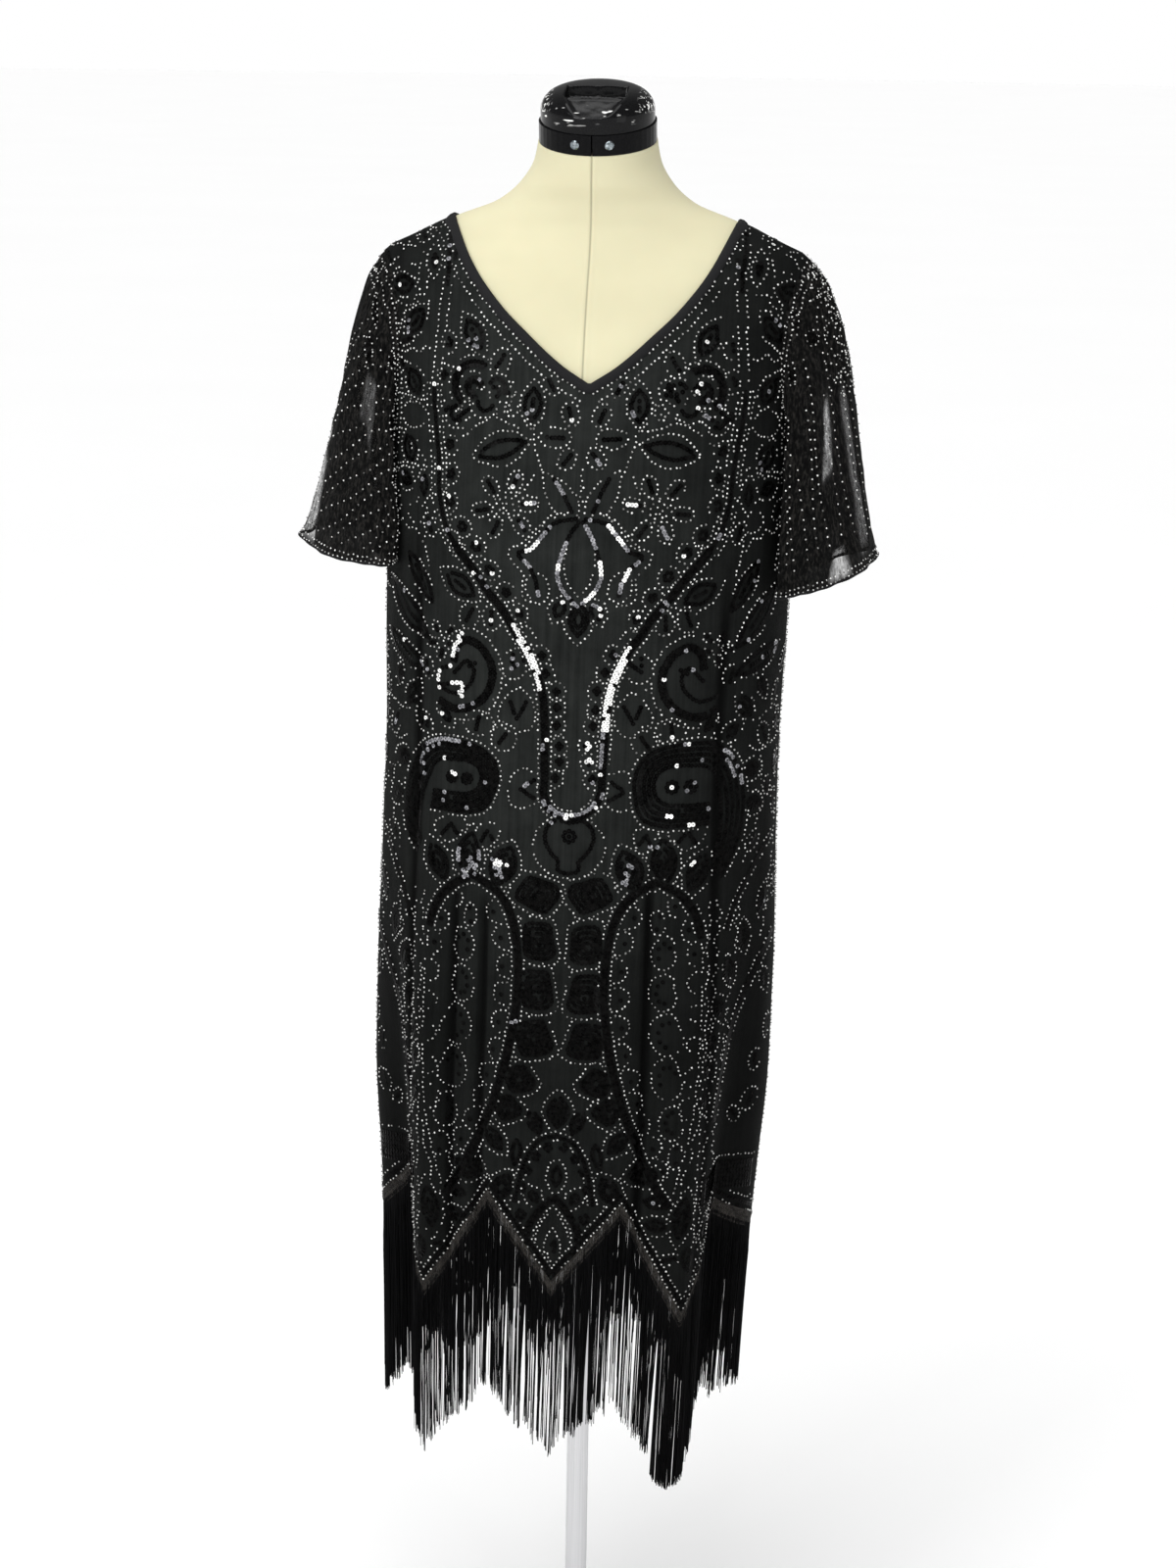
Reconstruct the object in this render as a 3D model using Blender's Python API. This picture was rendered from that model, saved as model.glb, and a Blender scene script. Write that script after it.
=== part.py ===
"""Beaded flapper dress hanging on a limbless dress form with a pole and a round base.

Metres, +Z up, the front faces -Y, and the origin is the centre of the base's underside.
Every cloth piece is a thin wall on one draped surface: level sections of a flattened
oval, from a table of heights, that the front, back, trims and fringe all share.
"""

import math
from collections import namedtuple

import bmesh
import bpy
import numpy as np
from mathutils import Matrix, Vector

# Driving dimensions
WALL = 0.0014
BINDING_WALL = 0.0012
TAPE_WALL = 0.0012
FRINGE_WALL = 0.0040
SEAM_GAP = 0.0003
FORM_CLEARANCE = 0.0009
FORM_DEPTH_CLEARANCE = 0.0024
EDGE_LIFT = 0.0005
SLEEVE_LIFT = 0.0009
SLEEVE_SIDE_GAP = 0.0005
TRIM_GAP = 0.0011

ARMPIT_Z = 1.330
SHOULDER_TIP_Z = 1.497
NECK_POINT_Z = 1.532
FRONT_V_Z = 1.390
BACK_NECK_Z = 1.462
ARMHOLE_REACH = 0.20
NECK_SHIFT = 0.007
NECK_SHIFT_START_Z = 1.000
SKIRT_DRIFT = -0.020
DRIFT_TOP_Z = 1.360
DRIFT_FULL_Z = 0.300
BINDING_WIDTH = 0.008
FRONT_MITRE = 0.0112
BACK_MITRE = 0.0085
TAPE_DROP = 0.014

POLE_RADIUS = 0.0110
POLE_CLEARANCE = 0.0003
BASE_RADIUS = 0.185
BASE_TOP_Z = 0.018
HUB_TOP_Z = 0.060
FORM_BOTTOM_Z = 0.850
BORE_DEPTH = 0.120

COLLAR_Z = 1.603
COLLAR_TILT = math.radians(13.5)
COLLAR_RADIUS = 0.0545
COLLAR_BORE = 0.0300
COLLAR_HEIGHT = 0.0185
COLLAR_SLIT = 0.0012
CAP_HEIGHT = 0.0320
RIVET_RADIUS = 0.0045
RIVET_HEIGHT = 0.0016
RIVET_ANGLE = math.radians(17.0)
GRIP_SIZE = (0.050, 0.026, 0.014)

COLUMNS = 16
LOWER_ROWS = 9
UPPER_ROWS = 12
FRONT_CENTRE_ROWS = 4
BACK_CENTRE_ROWS = 7
SLEEVE_COLUMNS = 2 * UPPER_ROWS
SLEEVE_ROWS = 8
FORM_COLUMNS = 32

# Sections of the draped cloth: height, half width, depth in front and behind, and how square
Section = namedtuple("Section", "z half_width front back power")
CLOTH_SECTIONS = (
    Section(0.290, 0.1775, 0.118, 0.116, 2.70),
    Section(0.480, 0.1820, 0.122, 0.120, 2.70),
    Section(0.600, 0.1885, 0.122, 0.120, 2.70),
    Section(0.720, 0.1950, 0.122, 0.120, 2.60),
    Section(0.820, 0.1945, 0.121, 0.119, 2.55),
    Section(0.950, 0.1905, 0.120, 0.116, 2.45),
    Section(1.050, 0.1885, 0.120, 0.112, 2.40),
    Section(1.150, 0.1905, 0.123, 0.110, 2.35),
    Section(1.250, 0.1915, 0.128, 0.108, 2.30),
    Section(1.330, 0.1910, 0.122, 0.108, 2.25),
    Section(1.400, 0.1930, 0.106, 0.104, 2.20),
    Section(1.450, 0.1980, 0.088, 0.092, 2.10),
    Section(1.480, 0.2010, 0.074, 0.078, 2.00),
    Section(1.497, 0.1990, 0.064, 0.068, 1.85),
    Section(1.515, 0.1660, 0.057, 0.060, 1.60),
    Section(1.532, 0.1320, 0.053, 0.055, 1.50),
    Section(1.548, 0.0920, 0.053, 0.054, 1.60),
)
FORM_LOWER_SECTIONS = (
    Section(0.850, 0.1700, 0.104, 0.108, 2.20),
    Section(0.920, 0.1760, 0.108, 0.112, 2.20),
    Section(1.020, 0.1630, 0.104, 0.100, 2.20),
    Section(1.120, 0.1480, 0.098, 0.088, 2.20),
    Section(1.200, 0.1580, 0.110, 0.092, 2.20),
    Section(1.270, 0.1720, 0.121, 0.098, 2.20),
    Section(1.330, 0.1820, 0.118, 0.104, 2.20),
)
NECK_SECTIONS = (
    Section(1.566, 0.0695, 0.0530, 0.053, 1.85),
    Section(1.585, 0.0585, 0.0530, 0.053, 2.00),
    Section(1.612, 0.0535, 0.0535, 0.0535, 2.00),
)
FORM_RINGS = (0.850, 0.885, 0.920, 0.970, 1.020, 1.070, 1.120, 1.160, 1.200, 1.235, 1.270, 1.300,
              1.330, 1.365, 1.400, 1.425, 1.450, 1.468, 1.482, 1.496, 1.505, 1.514, 1.523, 1.531,
              1.539, 1.547, 1.556, 1.566, 1.576, 1.588, 1.6027)
NECK_TILT_START_Z = 1.556

# Hem corners: place along the half panel, height of the cloth's edge, lowest fringe there
HemCorner = namedtuple("HemCorner", "place edge_z fringe_z")
FRONT_HEM = (
    HemCorner(-1.00, 0.543, 0.350), HemCorner(-0.75, 0.603, 0.400), HemCorner(-0.50, 0.506, 0.330),
    HemCorner(-0.25, 0.610, 0.400), HemCorner(0.00, 0.520, 0.341), HemCorner(0.25, 0.602, 0.392),
    HemCorner(0.50, 0.488, 0.301), HemCorner(0.75, 0.585, 0.375), HemCorner(1.00, 0.552, 0.368),
)
BACK_HEM = (
    HemCorner(-1.00, 0.543, 0.350), HemCorner(-0.75, 0.600, 0.395), HemCorner(-0.50, 0.508, 0.325),
    HemCorner(-0.25, 0.604, 0.402), HemCorner(0.00, 0.512, 0.336), HemCorner(0.25, 0.602, 0.398),
    HemCorner(0.50, 0.500, 0.318), HemCorner(0.75, 0.590, 0.382), HemCorner(1.00, 0.552, 0.368),
)

# Soft vertical folds: place along the half panel, top and height of its full depth, width, depth
Fold = namedtuple("Fold", "place top_z full_z width depth")
FRONT_FOLDS = (
    Fold(-0.730, 1.020, 0.560, 0.036, -0.0300),
    Fold(-0.505, 1.000, 0.700, 0.020, 0.0050),
    Fold(-0.400, 0.960, 0.780, 0.014, -0.0050),
    Fold(-0.275, 0.930, 0.800, 0.013, -0.0035),
    Fold(0.305, 0.980, 0.760, 0.016, -0.0060),
    Fold(0.505, 1.000, 0.700, 0.020, 0.0045),
    Fold(0.730, 1.020, 0.560, 0.036, -0.0310),
)
BACK_FOLDS = (
    Fold(-0.740, 1.000, 0.600, 0.036, -0.0230),
    Fold(-0.520, 1.050, 0.720, 0.022, 0.0045),
    Fold(-0.330, 0.980, 0.760, 0.018, -0.0050),
    Fold(0.060, 1.080, 0.800, 0.020, -0.0035),
    Fold(0.290, 0.940, 0.780, 0.016, -0.0045),
    Fold(0.500, 1.020, 0.700, 0.021, 0.0050),
    Fold(0.750, 1.040, 0.580, 0.036, -0.0260),
)

# Neckline: height as a part of its rise, and half width as a part of the neck point's
NeckStep = namedtuple("NeckStep", "rise width")
FRONT_NECK_EDGE = (
    NeckStep(0.00, 0.000), NeckStep(0.11, 0.190), NeckStep(0.32, 0.455),
    NeckStep(0.45, 0.605), NeckStep(0.69, 0.815), NeckStep(1.00, 1.000),
)
BACK_NECK_EDGE = (
    NeckStep(0.00, 0.000), NeckStep(0.05, 0.300), NeckStep(0.20, 0.580),
    NeckStep(0.42, 0.760), NeckStep(0.70, 0.900), NeckStep(1.00, 1.000),
)

# Sleeves: heights of the hem's outer and inner ends, how the top line leaves the shoulder
# and how far its last stretch flares out to the hem
SleeveShape = namedtuple("SleeveShape", "side out_z in_z leave_x leave_z flare")
SLEEVES = {
    "sleeve_left": SleeveShape(-1.0, 1.228, 1.210, 0.028, 0.050, 0.036),
    "sleeve_right": SleeveShape(1.0, 1.219, 1.188, 0.027, 0.040, 0.013),
}
SLEEVE_OUT_X = 0.2745
SLEEVE_IN_X = 0.2040
SLEEVE_HALF_DEPTH = 0.092

Material = namedtuple("Material", "name colour roughness metallic")
GEORGETTE = Material("black_georgette", (0.028, 0.033, 0.034), 0.75, 0.0)
MESH = Material("black_mesh", (0.020, 0.023, 0.024), 0.80, 0.0)
BEADED_TRIM = Material("beaded_trim", (0.012, 0.012, 0.013), 0.45, 0.0)
FRINGE_YARN = Material("fringe_yarn", (0.006, 0.006, 0.007), 0.40, 0.0)
FORM_JERSEY = Material("cream_jersey", (0.870, 0.840, 0.620), 0.85, 0.0)
GLOSS_BLACK = Material("gloss_black", (0.010, 0.010, 0.011), 0.12, 0.0)
BRIGHT_METAL = Material("bright_metal", (0.620, 0.620, 0.630), 0.25, 1.0)
SATIN_STEEL = Material("satin_steel", (0.600, 0.600, 0.610), 0.35, 1.0)
BASE_PAINT = Material("base_paint", (0.640, 0.640, 0.630), 0.40, 0.0)

# Directions across a panel: the front's outside faces -Y and the back's +Y
FRONT = -1.0
BACK = 1.0


def clear_scene():
    for existing in list(bpy.data.objects):
        bpy.data.objects.remove(existing, do_unlink=True)


def material(finish):
    made = bpy.data.materials.get(finish.name) or bpy.data.materials.new(finish.name)
    made.use_nodes = True
    shader = made.node_tree.nodes["Principled BSDF"]
    shader.inputs["Base Color"].default_value = (*finish.colour, 1.0)
    shader.inputs["Roughness"].default_value = finish.roughness
    shader.inputs["Metallic"].default_value = finish.metallic
    made.diffuse_color = (*finish.colour, 1.0)
    return made


def add_object(name, mesh, finish):
    mesh.materials.append(material(finish))
    placed = bpy.data.objects.new(name, mesh)
    bpy.context.scene.collection.objects.link(placed)
    mesh.shade_smooth()
    mesh.set_sharp_from_angle(angle=math.radians(40.0))
    return placed


def row_at(table, z):
    """The table's row at a height: a monotone cubic runs through each column."""
    rows = np.array(table)
    heights = rows[:, 0]
    z = min(max(z, heights[0]), heights[-1])
    index = min(int(np.searchsorted(heights, z, side="right")) - 1, len(heights) - 2)
    steps = np.diff(heights)[:, None]
    slopes = np.diff(rows, axis=0) / steps
    tangents = np.zeros_like(rows)
    tangents[0], tangents[-1] = slopes[0], slopes[-1]
    before, after = slopes[:-1], slopes[1:]
    same_way = before * after > 0.0
    total = np.where(same_way, before + after, 1.0)
    tangents[1:-1] = np.where(same_way, 2.0 * before * after / total, 0.0)
    span = heights[index + 1] - heights[index]
    t = (z - heights[index]) / span
    return (
        (2 * t**3 - 3 * t**2 + 1) * rows[index]
        + (t**3 - 2 * t**2 + t) * span * tangents[index]
        + (3 * t**2 - 2 * t**3) * rows[index + 1]
        + (t**3 - t**2) * span * tangents[index + 1]
    )


def quarter_outline(section, facing, samples=160):
    """X, depth and running length of a section's quarter, from the middle to the side line."""
    _, half_width, front, back, power = section
    angle = np.linspace(0.0, math.pi / 2, samples)
    x = half_width * np.sin(angle) ** (2.0 / power)
    depth = (front if facing == FRONT else back) * np.cos(angle) ** (2.0 / power)
    length = np.concatenate(([0.0], np.cumsum(np.hypot(np.diff(x), np.diff(depth)))))
    return x, depth, length


def section_point(table, facing, place, z):
    """Point of a section: place runs from -1 to 1, side line to side line."""
    x, depth, length = quarter_outline(row_at(table, z), facing)
    along = min(abs(place), 1.0) * length[-1]
    side = math.copysign(1.0, place)
    return Vector((side * np.interp(along, length, x), facing * np.interp(along, length, depth), z))


def drift_x(z):
    """Sideways shift of the hanging cloth, none above the armpits."""
    return SKIRT_DRIFT * max(0.0, (DRIFT_TOP_Z - z) / (DRIFT_TOP_Z - DRIFT_FULL_Z))


def place_of_x(facing, x, z):
    outline_x, _, length = quarter_outline(row_at(CLOTH_SECTIONS, z), facing)
    x -= drift_x(z)
    return math.copysign(float(np.interp(abs(x), outline_x, length)) / length[-1], x)


def ease(t):
    t = min(max(t, 0.0), 1.0)
    return t * t * (3.0 - 2.0 * t)


def fold_height(facing, place, z):
    """How far the soft folds stand out of the plain section."""
    length = quarter_outline(row_at(CLOTH_SECTIONS, z), facing)[2][-1]
    height = 0.0
    for fold in FRONT_FOLDS if facing == FRONT else BACK_FOLDS:
        strength = ease((fold.top_z - z) / (fold.top_z - fold.full_z))
        height += fold.depth * strength * math.exp(-(((place - fold.place) * length / fold.width) ** 2))
    return height


def plain_normal(facing, place, z):
    """Outward direction of the plain section; on the side line both panels share it."""
    step_z = 0.002
    rise = section_point(CLOTH_SECTIONS, facing, place, z + step_z) - section_point(
        CLOTH_SECTIONS, facing, place, z - step_z
    )
    if abs(place) > 0.995:
        across = Vector((0.0, math.copysign(1.0, place) * -facing, 0.0))
    else:
        step = 0.01
        high = section_point(CLOTH_SECTIONS, facing, min(place + step, 1.0), z)
        low = section_point(CLOTH_SECTIONS, facing, max(place - step, -1.0), z)
        across = high - low
    normal = across.cross(rise) * -facing
    return normal.normalized()


def cloth_point(facing, place, z):
    """Inner face of the draped cloth and its outward direction."""
    normal = plain_normal(facing, place, z)
    point = section_point(CLOTH_SECTIONS, facing, place, z) + normal * fold_height(facing, place, z)
    point.x += drift_x(z)
    return point, normal


class Sheet:
    """Points, outward directions and faces of an open sheet, which becomes a closed wall."""

    def __init__(self):
        self.points = []
        self.normals = []
        self.faces = []
        self.known = {}

    def vertex(self, point, normal):
        key = tuple(round(value, 6) for value in point)
        if key not in self.known:
            self.known[key] = len(self.points)
            self.points.append(Vector(point))
            self.normals.append(Vector(normal))
        return self.known[key]

    def grid(self, rows):
        """Faces between rows of (point, normal) pairs; a corner where two points meet is left out."""
        indices = [[self.vertex(*pair) for pair in row] for row in rows]
        for low, high in zip(indices, indices[1:]):
            for column in range(len(low) - 1):
                corners = (low[column], low[column + 1], high[column + 1], high[column])
                face = tuple(dict.fromkeys(corners))
                if len(face) > 2:
                    self.faces.append(face)

    def wall(self, name, thickness, finish, inset=0.0):
        """Closed wall whose inner face lies inset below the sheet."""
        work = bmesh.new()
        inner = [work.verts.new(p - n * inset) for p, n in zip(self.points, self.normals)]
        outer = [work.verts.new(p + n * (thickness - inset)) for p, n in zip(self.points, self.normals)]
        edge_uses = {}
        for face in self.faces:
            for start, end in zip(face, face[1:] + face[:1]):
                edge_uses.setdefault(frozenset((start, end)), []).append((start, end))
        for face in self.faces:
            work.faces.new([outer[i] for i in face])
            work.faces.new([inner[i] for i in reversed(face)])
        for uses in edge_uses.values():
            if len(uses) == 1:
                start, end = uses[0]
                work.faces.new((outer[end], outer[start], inner[start], inner[end]))
        bmesh.ops.recalc_face_normals(work, faces=work.faces)
        mesh = bpy.data.meshes.new(name)
        work.to_mesh(mesh)
        work.free()
        return add_object(name, mesh, finish)


def seam_place(facing, place, z):
    """Keeps a place half a seam gap away from the side line."""
    length = quarter_outline(row_at(CLOTH_SECTIONS, z), facing)[2][-1]
    limit = 1.0 - 0.5 * SEAM_GAP / length
    return min(max(place, -limit), limit)


def hem_value(corners, place, column):
    places = [corner.place for corner in corners]
    return float(np.interp(place, places, [corner[column] for corner in corners]))


def centre_x(z):
    return drift_x(z) + NECK_SHIFT * ease((z - NECK_SHIFT_START_Z) / (FRONT_V_Z - NECK_SHIFT_START_Z))


def neck_edge(facing, side, rise):
    """X and height of the neckline, from the middle (rise 0) to the shoulder seam (rise 1)."""
    table = FRONT_NECK_EDGE if facing == FRONT else BACK_NECK_EDGE
    low_z = FRONT_V_Z if facing == FRONT else BACK_NECK_Z
    z = low_z + (NECK_POINT_Z - low_z) * rise
    shift = NECK_SHIFT * (1.0 - rise)
    neck_x = row_at(CLOTH_SECTIONS, NECK_POINT_Z)[1]
    return side * neck_x * float(row_at(table, rise)[1]) + shift, z


def armhole_edge(turn):
    """Place and height of the armhole's edge, from the armpit (turn 0) to the shoulder tip (turn 1)."""
    middle = 0.5 * (ARMPIT_Z + SHOULDER_TIP_Z)
    half = 0.5 * (SHOULDER_TIP_Z - ARMPIT_Z)
    return 1.0 - ARMHOLE_REACH * math.sin(math.pi * turn), middle - half * math.cos(math.pi * turn)


def upper_inner_edge(facing, side, turn):
    """Place and height of a panel's inner edge above the armpit: centre line, then neckline."""
    neck_low = FRONT_V_Z if facing == FRONT else BACK_NECK_Z
    on_centre = (FRONT_CENTRE_ROWS if facing == FRONT else BACK_CENTRE_ROWS) / UPPER_ROWS
    if turn <= on_centre + 1e-9:
        z = ARMPIT_Z + (neck_low - ARMPIT_Z) * turn / on_centre
        return place_of_x(facing, centre_x(z), z), z
    rise = math.sin(0.5 * math.pi * (turn - on_centre) / (1.0 - on_centre))
    x, z = neck_edge(facing, side, rise)
    if rise > 0.9999:
        return side, z
    return place_of_x(facing, x, z), z


def panel_rows(facing, side):
    """Rows of one half of a panel, from the hem's zigzag up to the shoulder seam."""
    corners = FRONT_HEM if facing == FRONT else BACK_HEM
    rows = []
    for row in range(LOWER_ROWS + 1):
        part = row / LOWER_ROWS
        pairs = []
        for column in range(COLUMNS + 1):
            across = column / COLUMNS
            edge_z = hem_value(corners, side * across, 1)
            z = edge_z + (ARMPIT_Z - edge_z) * part
            middle = place_of_x(facing, centre_x(z), z)
            place = seam_place(facing, middle + (side - middle) * across, z)
            pairs.append(cloth_point(facing, place, z))
        rows.append(pairs)
    for row in range(1, UPPER_ROWS + 1):
        turn = row / UPPER_ROWS
        inner_place, inner_z = upper_inner_edge(facing, side, turn)
        outer_place, outer_z = armhole_edge(turn)
        pairs = []
        for column in range(COLUMNS + 1):
            across = column / COLUMNS
            z = inner_z + (outer_z - inner_z) * across
            place = inner_place + (side * outer_place - inner_place) * across
            pairs.append(cloth_point(facing, seam_place(facing, place, z), z))
        rows.append(pairs)
    return rows


def build_panel(name, facing):
    sheet = Sheet()
    for side in (1.0, -1.0):
        sheet.grid(panel_rows(facing, side))
    return sheet.wall(name, WALL, GEORGETTE)


def on_row(row, width):
    """Point of a panel's row, a width in from its inner end, and the outward direction there."""
    (edge, edge_normal), (inside, inside_normal) = row[0], row[1]
    part = width / (inside - edge).length
    return edge.lerp(inside, part), edge_normal.lerp(inside_normal, part).normalized()


def binding_rows(facing, side):
    """Strip along the neckline on the panel's own rows; its first row lies on the centre line."""
    rows = panel_rows(facing, side)
    centre_rows = FRONT_CENTRE_ROWS if facing == FRONT else BACK_CENTRE_ROWS
    lowest = LOWER_ROWS + centre_rows
    neck_rows = rows[lowest:]
    edge = [row[0][0] for row in neck_rows]
    below, below_normal = rows[lowest - 1][0]
    part = (FRONT_MITRE if facing == FRONT else BACK_MITRE) / (below - edge[0]).length
    middle = edge[0].lerp(below, part), neck_rows[0][0][1].lerp(below_normal, part).normalized()
    strip = [[neck_rows[0][0], middle]]
    for index, row in enumerate(neck_rows):
        tangent = edge[min(index + 1, len(edge) - 1)] - edge[max(index - 1, 0)]
        across = row[1][0] - row[0][0]
        slant = across.cross(tangent).length / (across.length * tangent.length)
        strip.append([row[0], on_row(row, BINDING_WIDTH / slant)])
    lift = WALL + EDGE_LIFT
    return [[(point + normal * lift, normal) for point, normal in pair] for pair in strip]


def build_bindings():
    for facing, word in ((FRONT, "front"), (BACK, "back")):
        sheet = Sheet()
        for side in (1.0, -1.0):
            sheet.grid(binding_rows(facing, side))
        sheet.wall("neck_binding_" + word, BINDING_WALL, BEADED_TRIM)


def hem_band_rows(facing, top, bottom, steps):
    """Rows between two height functions of the place, right round one panel."""
    rows = []
    for step in range(steps + 1):
        part = step / steps
        pairs = []
        for column in range(-COLUMNS, COLUMNS + 1):
            place = column / COLUMNS
            z = bottom(place) + (top(place) - bottom(place)) * part
            pairs.append(cloth_point(facing, seam_place(facing, place, z), z))
        rows.append(pairs)
    return rows


def build_hem_trim(word, facing):
    corners = FRONT_HEM if facing == FRONT else BACK_HEM

    def tape_top(place):
        return hem_value(corners, place, 1) - TRIM_GAP

    def tape_bottom(place):
        return hem_value(corners, place, 1) - TAPE_DROP

    def fringe_top(place):
        return tape_bottom(place) - TRIM_GAP

    def fringe_bottom(place):
        return hem_value(corners, place, 2)

    tape = Sheet()
    tape.grid(hem_band_rows(facing, tape_top, tape_bottom, 1))
    tape.wall("fringe_tape_" + word, TAPE_WALL, BEADED_TRIM)
    fringe = Sheet()
    fringe.grid(hem_band_rows(facing, fringe_top, fringe_bottom, 3))
    fringe.wall("fringe_" + word, FRINGE_WALL, FRINGE_YARN, inset=0.5 * (FRINGE_WALL - TAPE_WALL))


def armhole_ring(side):
    """Armhole edge, all round from the shoulder tip over the front, as (point, normal) pairs."""
    ring = []
    for column in range(SLEEVE_COLUMNS):
        around = 2.0 * math.pi * column / SLEEVE_COLUMNS
        facing = FRONT if around <= math.pi else BACK
        turn = 1.0 - around / math.pi if facing == FRONT else around / math.pi - 1.0
        place, z = armhole_edge(turn)
        ring.append(cloth_point(facing, side * place, z))
    return ring


def sleeve_path(start, end, around, shape):
    """Control points of one running line of the sleeve, from the armhole to its hem."""
    top = 0.5 * (1.0 + math.cos(around))
    depth_way = -math.sin(around)
    leave = Vector((
        shape.side * (0.003 + (shape.leave_x - 0.003) * top),
        0.014 * depth_way,
        -0.022 - (shape.leave_z - 0.022) * top - 0.012 * abs(depth_way),
    ))
    arrive = Vector((
        shape.side * (0.002 - (shape.flare + 0.002) * top),
        -0.010 * depth_way,
        0.040 + 0.050 * top,
    ))
    return start, start + leave, end + arrive, end


def bezier(points, t):
    a, b, c, d = points
    return a * (1 - t) ** 3 + b * 3 * t * (1 - t) ** 2 + c * 3 * t * t * (1 - t) + d * t**3


def sleeve_lines(shape):
    """One running line for each column: its points from the armhole to the hem."""
    side = shape.side
    lines = []
    for column, (edge, normal) in enumerate(armhole_ring(side)):
        around = 2.0 * math.pi * column / SLEEVE_COLUMNS
        under = 0.5 * (1.0 - math.cos(around))
        start = edge + normal * (WALL + SLEEVE_LIFT + (WALL + SEAM_GAP) * under)
        start.x += side * SLEEVE_SIDE_GAP
        middle_x = 0.5 * (SLEEVE_OUT_X + SLEEVE_IN_X)
        reach = 0.5 * (SLEEVE_OUT_X - SLEEVE_IN_X)
        ripple = 0.004 * math.sin(5.0 * around) * math.sin(around) ** 2
        end = Vector((
            side * (middle_x + reach * math.cos(around)),
            -SLEEVE_HALF_DEPTH * math.sin(around) + ripple,
            0.5 * (shape.out_z + shape.in_z) + 0.5 * (shape.out_z - shape.in_z) * math.cos(around),
        ))
        control = sleeve_path(start, end, around, shape)
        lines.append([bezier(control, row / SLEEVE_ROWS) for row in range(SLEEVE_ROWS + 1)])
    return lines


def build_sleeve(name, shape):
    lines = sleeve_lines(shape)
    count = len(lines)
    sheet = Sheet()
    rows = []
    for row in range(SLEEVE_ROWS + 1):
        low, high = min(row + 1, SLEEVE_ROWS), max(row - 1, 0)
        pairs = []
        for column in range(count + 1):
            here = column % count
            along = lines[here][low] - lines[here][high]
            across = lines[(here + 1) % count][row] - lines[here - 1][row]
            normal = along.cross(across).normalized() * shape.side
            pairs.append((lines[here][row], normal))
        rows.append(pairs)
    sheet.grid(rows)
    return sheet.wall(name, WALL, MESH)


def form_sections():
    """The form fills the cloth above the armpits with an even clearance and has its own shape below."""
    upper = [
        Section(s.z - FORM_CLEARANCE, s.half_width - FORM_CLEARANCE, s.front - FORM_DEPTH_CLEARANCE,
                s.back - FORM_DEPTH_CLEARANCE, s.power)
        for s in CLOTH_SECTIONS if s.z > 1.39
    ]
    return FORM_LOWER_SECTIONS + tuple(upper) + NECK_SECTIONS


def build_form():
    """Torso from its open bottom bore round to the closed, forward-tilted top of the neck."""
    sections = form_sections()
    tilt = math.tan(COLLAR_TILT)
    top_z = FORM_RINGS[-1]
    work = bmesh.new()
    rings = []
    bore_radius = POLE_RADIUS + POLE_CLEARANCE
    angles = [2.0 * math.pi * column / FORM_COLUMNS for column in range(FORM_COLUMNS)]
    for z in (FORM_BOTTOM_Z + BORE_DEPTH, FORM_BOTTOM_Z):
        rings.append([work.verts.new((bore_radius * math.sin(a), -bore_radius * math.cos(a), z)) for a in angles])
    for z in FORM_RINGS:
        ring = []
        for column in range(FORM_COLUMNS):
            quarters = 4.0 * column / FORM_COLUMNS
            side = 1.0 if quarters <= 2.0 else -1.0
            facing = FRONT if quarters <= 1.0 or quarters >= 3.0 else BACK
            away = quarters if quarters <= 2.0 else 4.0 - quarters
            place = away if away <= 1.0 else 2.0 - away
            point = section_point(sections, facing, side * place, z)
            lean = ease((z - NECK_TILT_START_Z) / (top_z - NECK_TILT_START_Z))
            point.z += tilt * point.y * lean
            ring.append(work.verts.new(point))
        rings.append(ring)
    for low, high in zip(rings, rings[1:]):
        for column in range(FORM_COLUMNS):
            after = (column + 1) % FORM_COLUMNS
            work.faces.new((low[column], low[after], high[after], high[column]))
    work.faces.new(rings[-1])
    work.faces.new(tuple(reversed(rings[0])))
    bmesh.ops.recalc_face_normals(work, faces=work.faces)
    mesh = bpy.data.meshes.new("form_torso")
    work.to_mesh(mesh)
    work.free()
    return add_object("form_torso", mesh, FORM_JERSEY)


def turned(name, profile, finish, segments=48, arc=2.0 * math.pi, start=0.0):
    """Solid turned about Z from (radius, height) points; a part turn is closed by its two ends."""
    whole = arc > 2.0 * math.pi - 1e-6
    work = bmesh.new()
    columns = segments if whole else segments + 1
    rings = []
    for radius, z in profile:
        if radius == 0.0:
            rings.append([work.verts.new((0.0, 0.0, z))] * columns)
            continue
        angles = [start + arc * column / segments for column in range(columns)]
        rings.append([work.verts.new((radius * math.sin(a), -radius * math.cos(a), z)) for a in angles])
    closed_profile = profile[0][0] > 0.0
    pairs = list(zip(rings, rings[1:]))
    if closed_profile:
        pairs.append((rings[-1], rings[0]))
    for low, high in pairs:
        for column in range(segments):
            after = (column + 1) % columns
            corners = tuple(dict.fromkeys((low[column], low[after], high[after], high[column])))
            if len(corners) > 2:
                work.faces.new(corners)
    if not whole:
        work.faces.new([ring[0] for ring in rings])
        work.faces.new([ring[-1] for ring in reversed(rings)])
    bmesh.ops.recalc_face_normals(work, faces=work.faces)
    mesh = bpy.data.meshes.new(name)
    work.to_mesh(mesh)
    work.free()
    return add_object(name, mesh, finish)


def collar_frame():
    """Empty at the collar's lower centre, tilted forward, that carries the cap and its fittings."""
    holder = bpy.data.objects.new("collar_frame", None)
    holder.location = (0.0, 0.0, COLLAR_Z)
    holder.rotation_euler = (COLLAR_TILT, 0.0, 0.0)
    bpy.context.scene.collection.objects.link(holder)
    return holder


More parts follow.
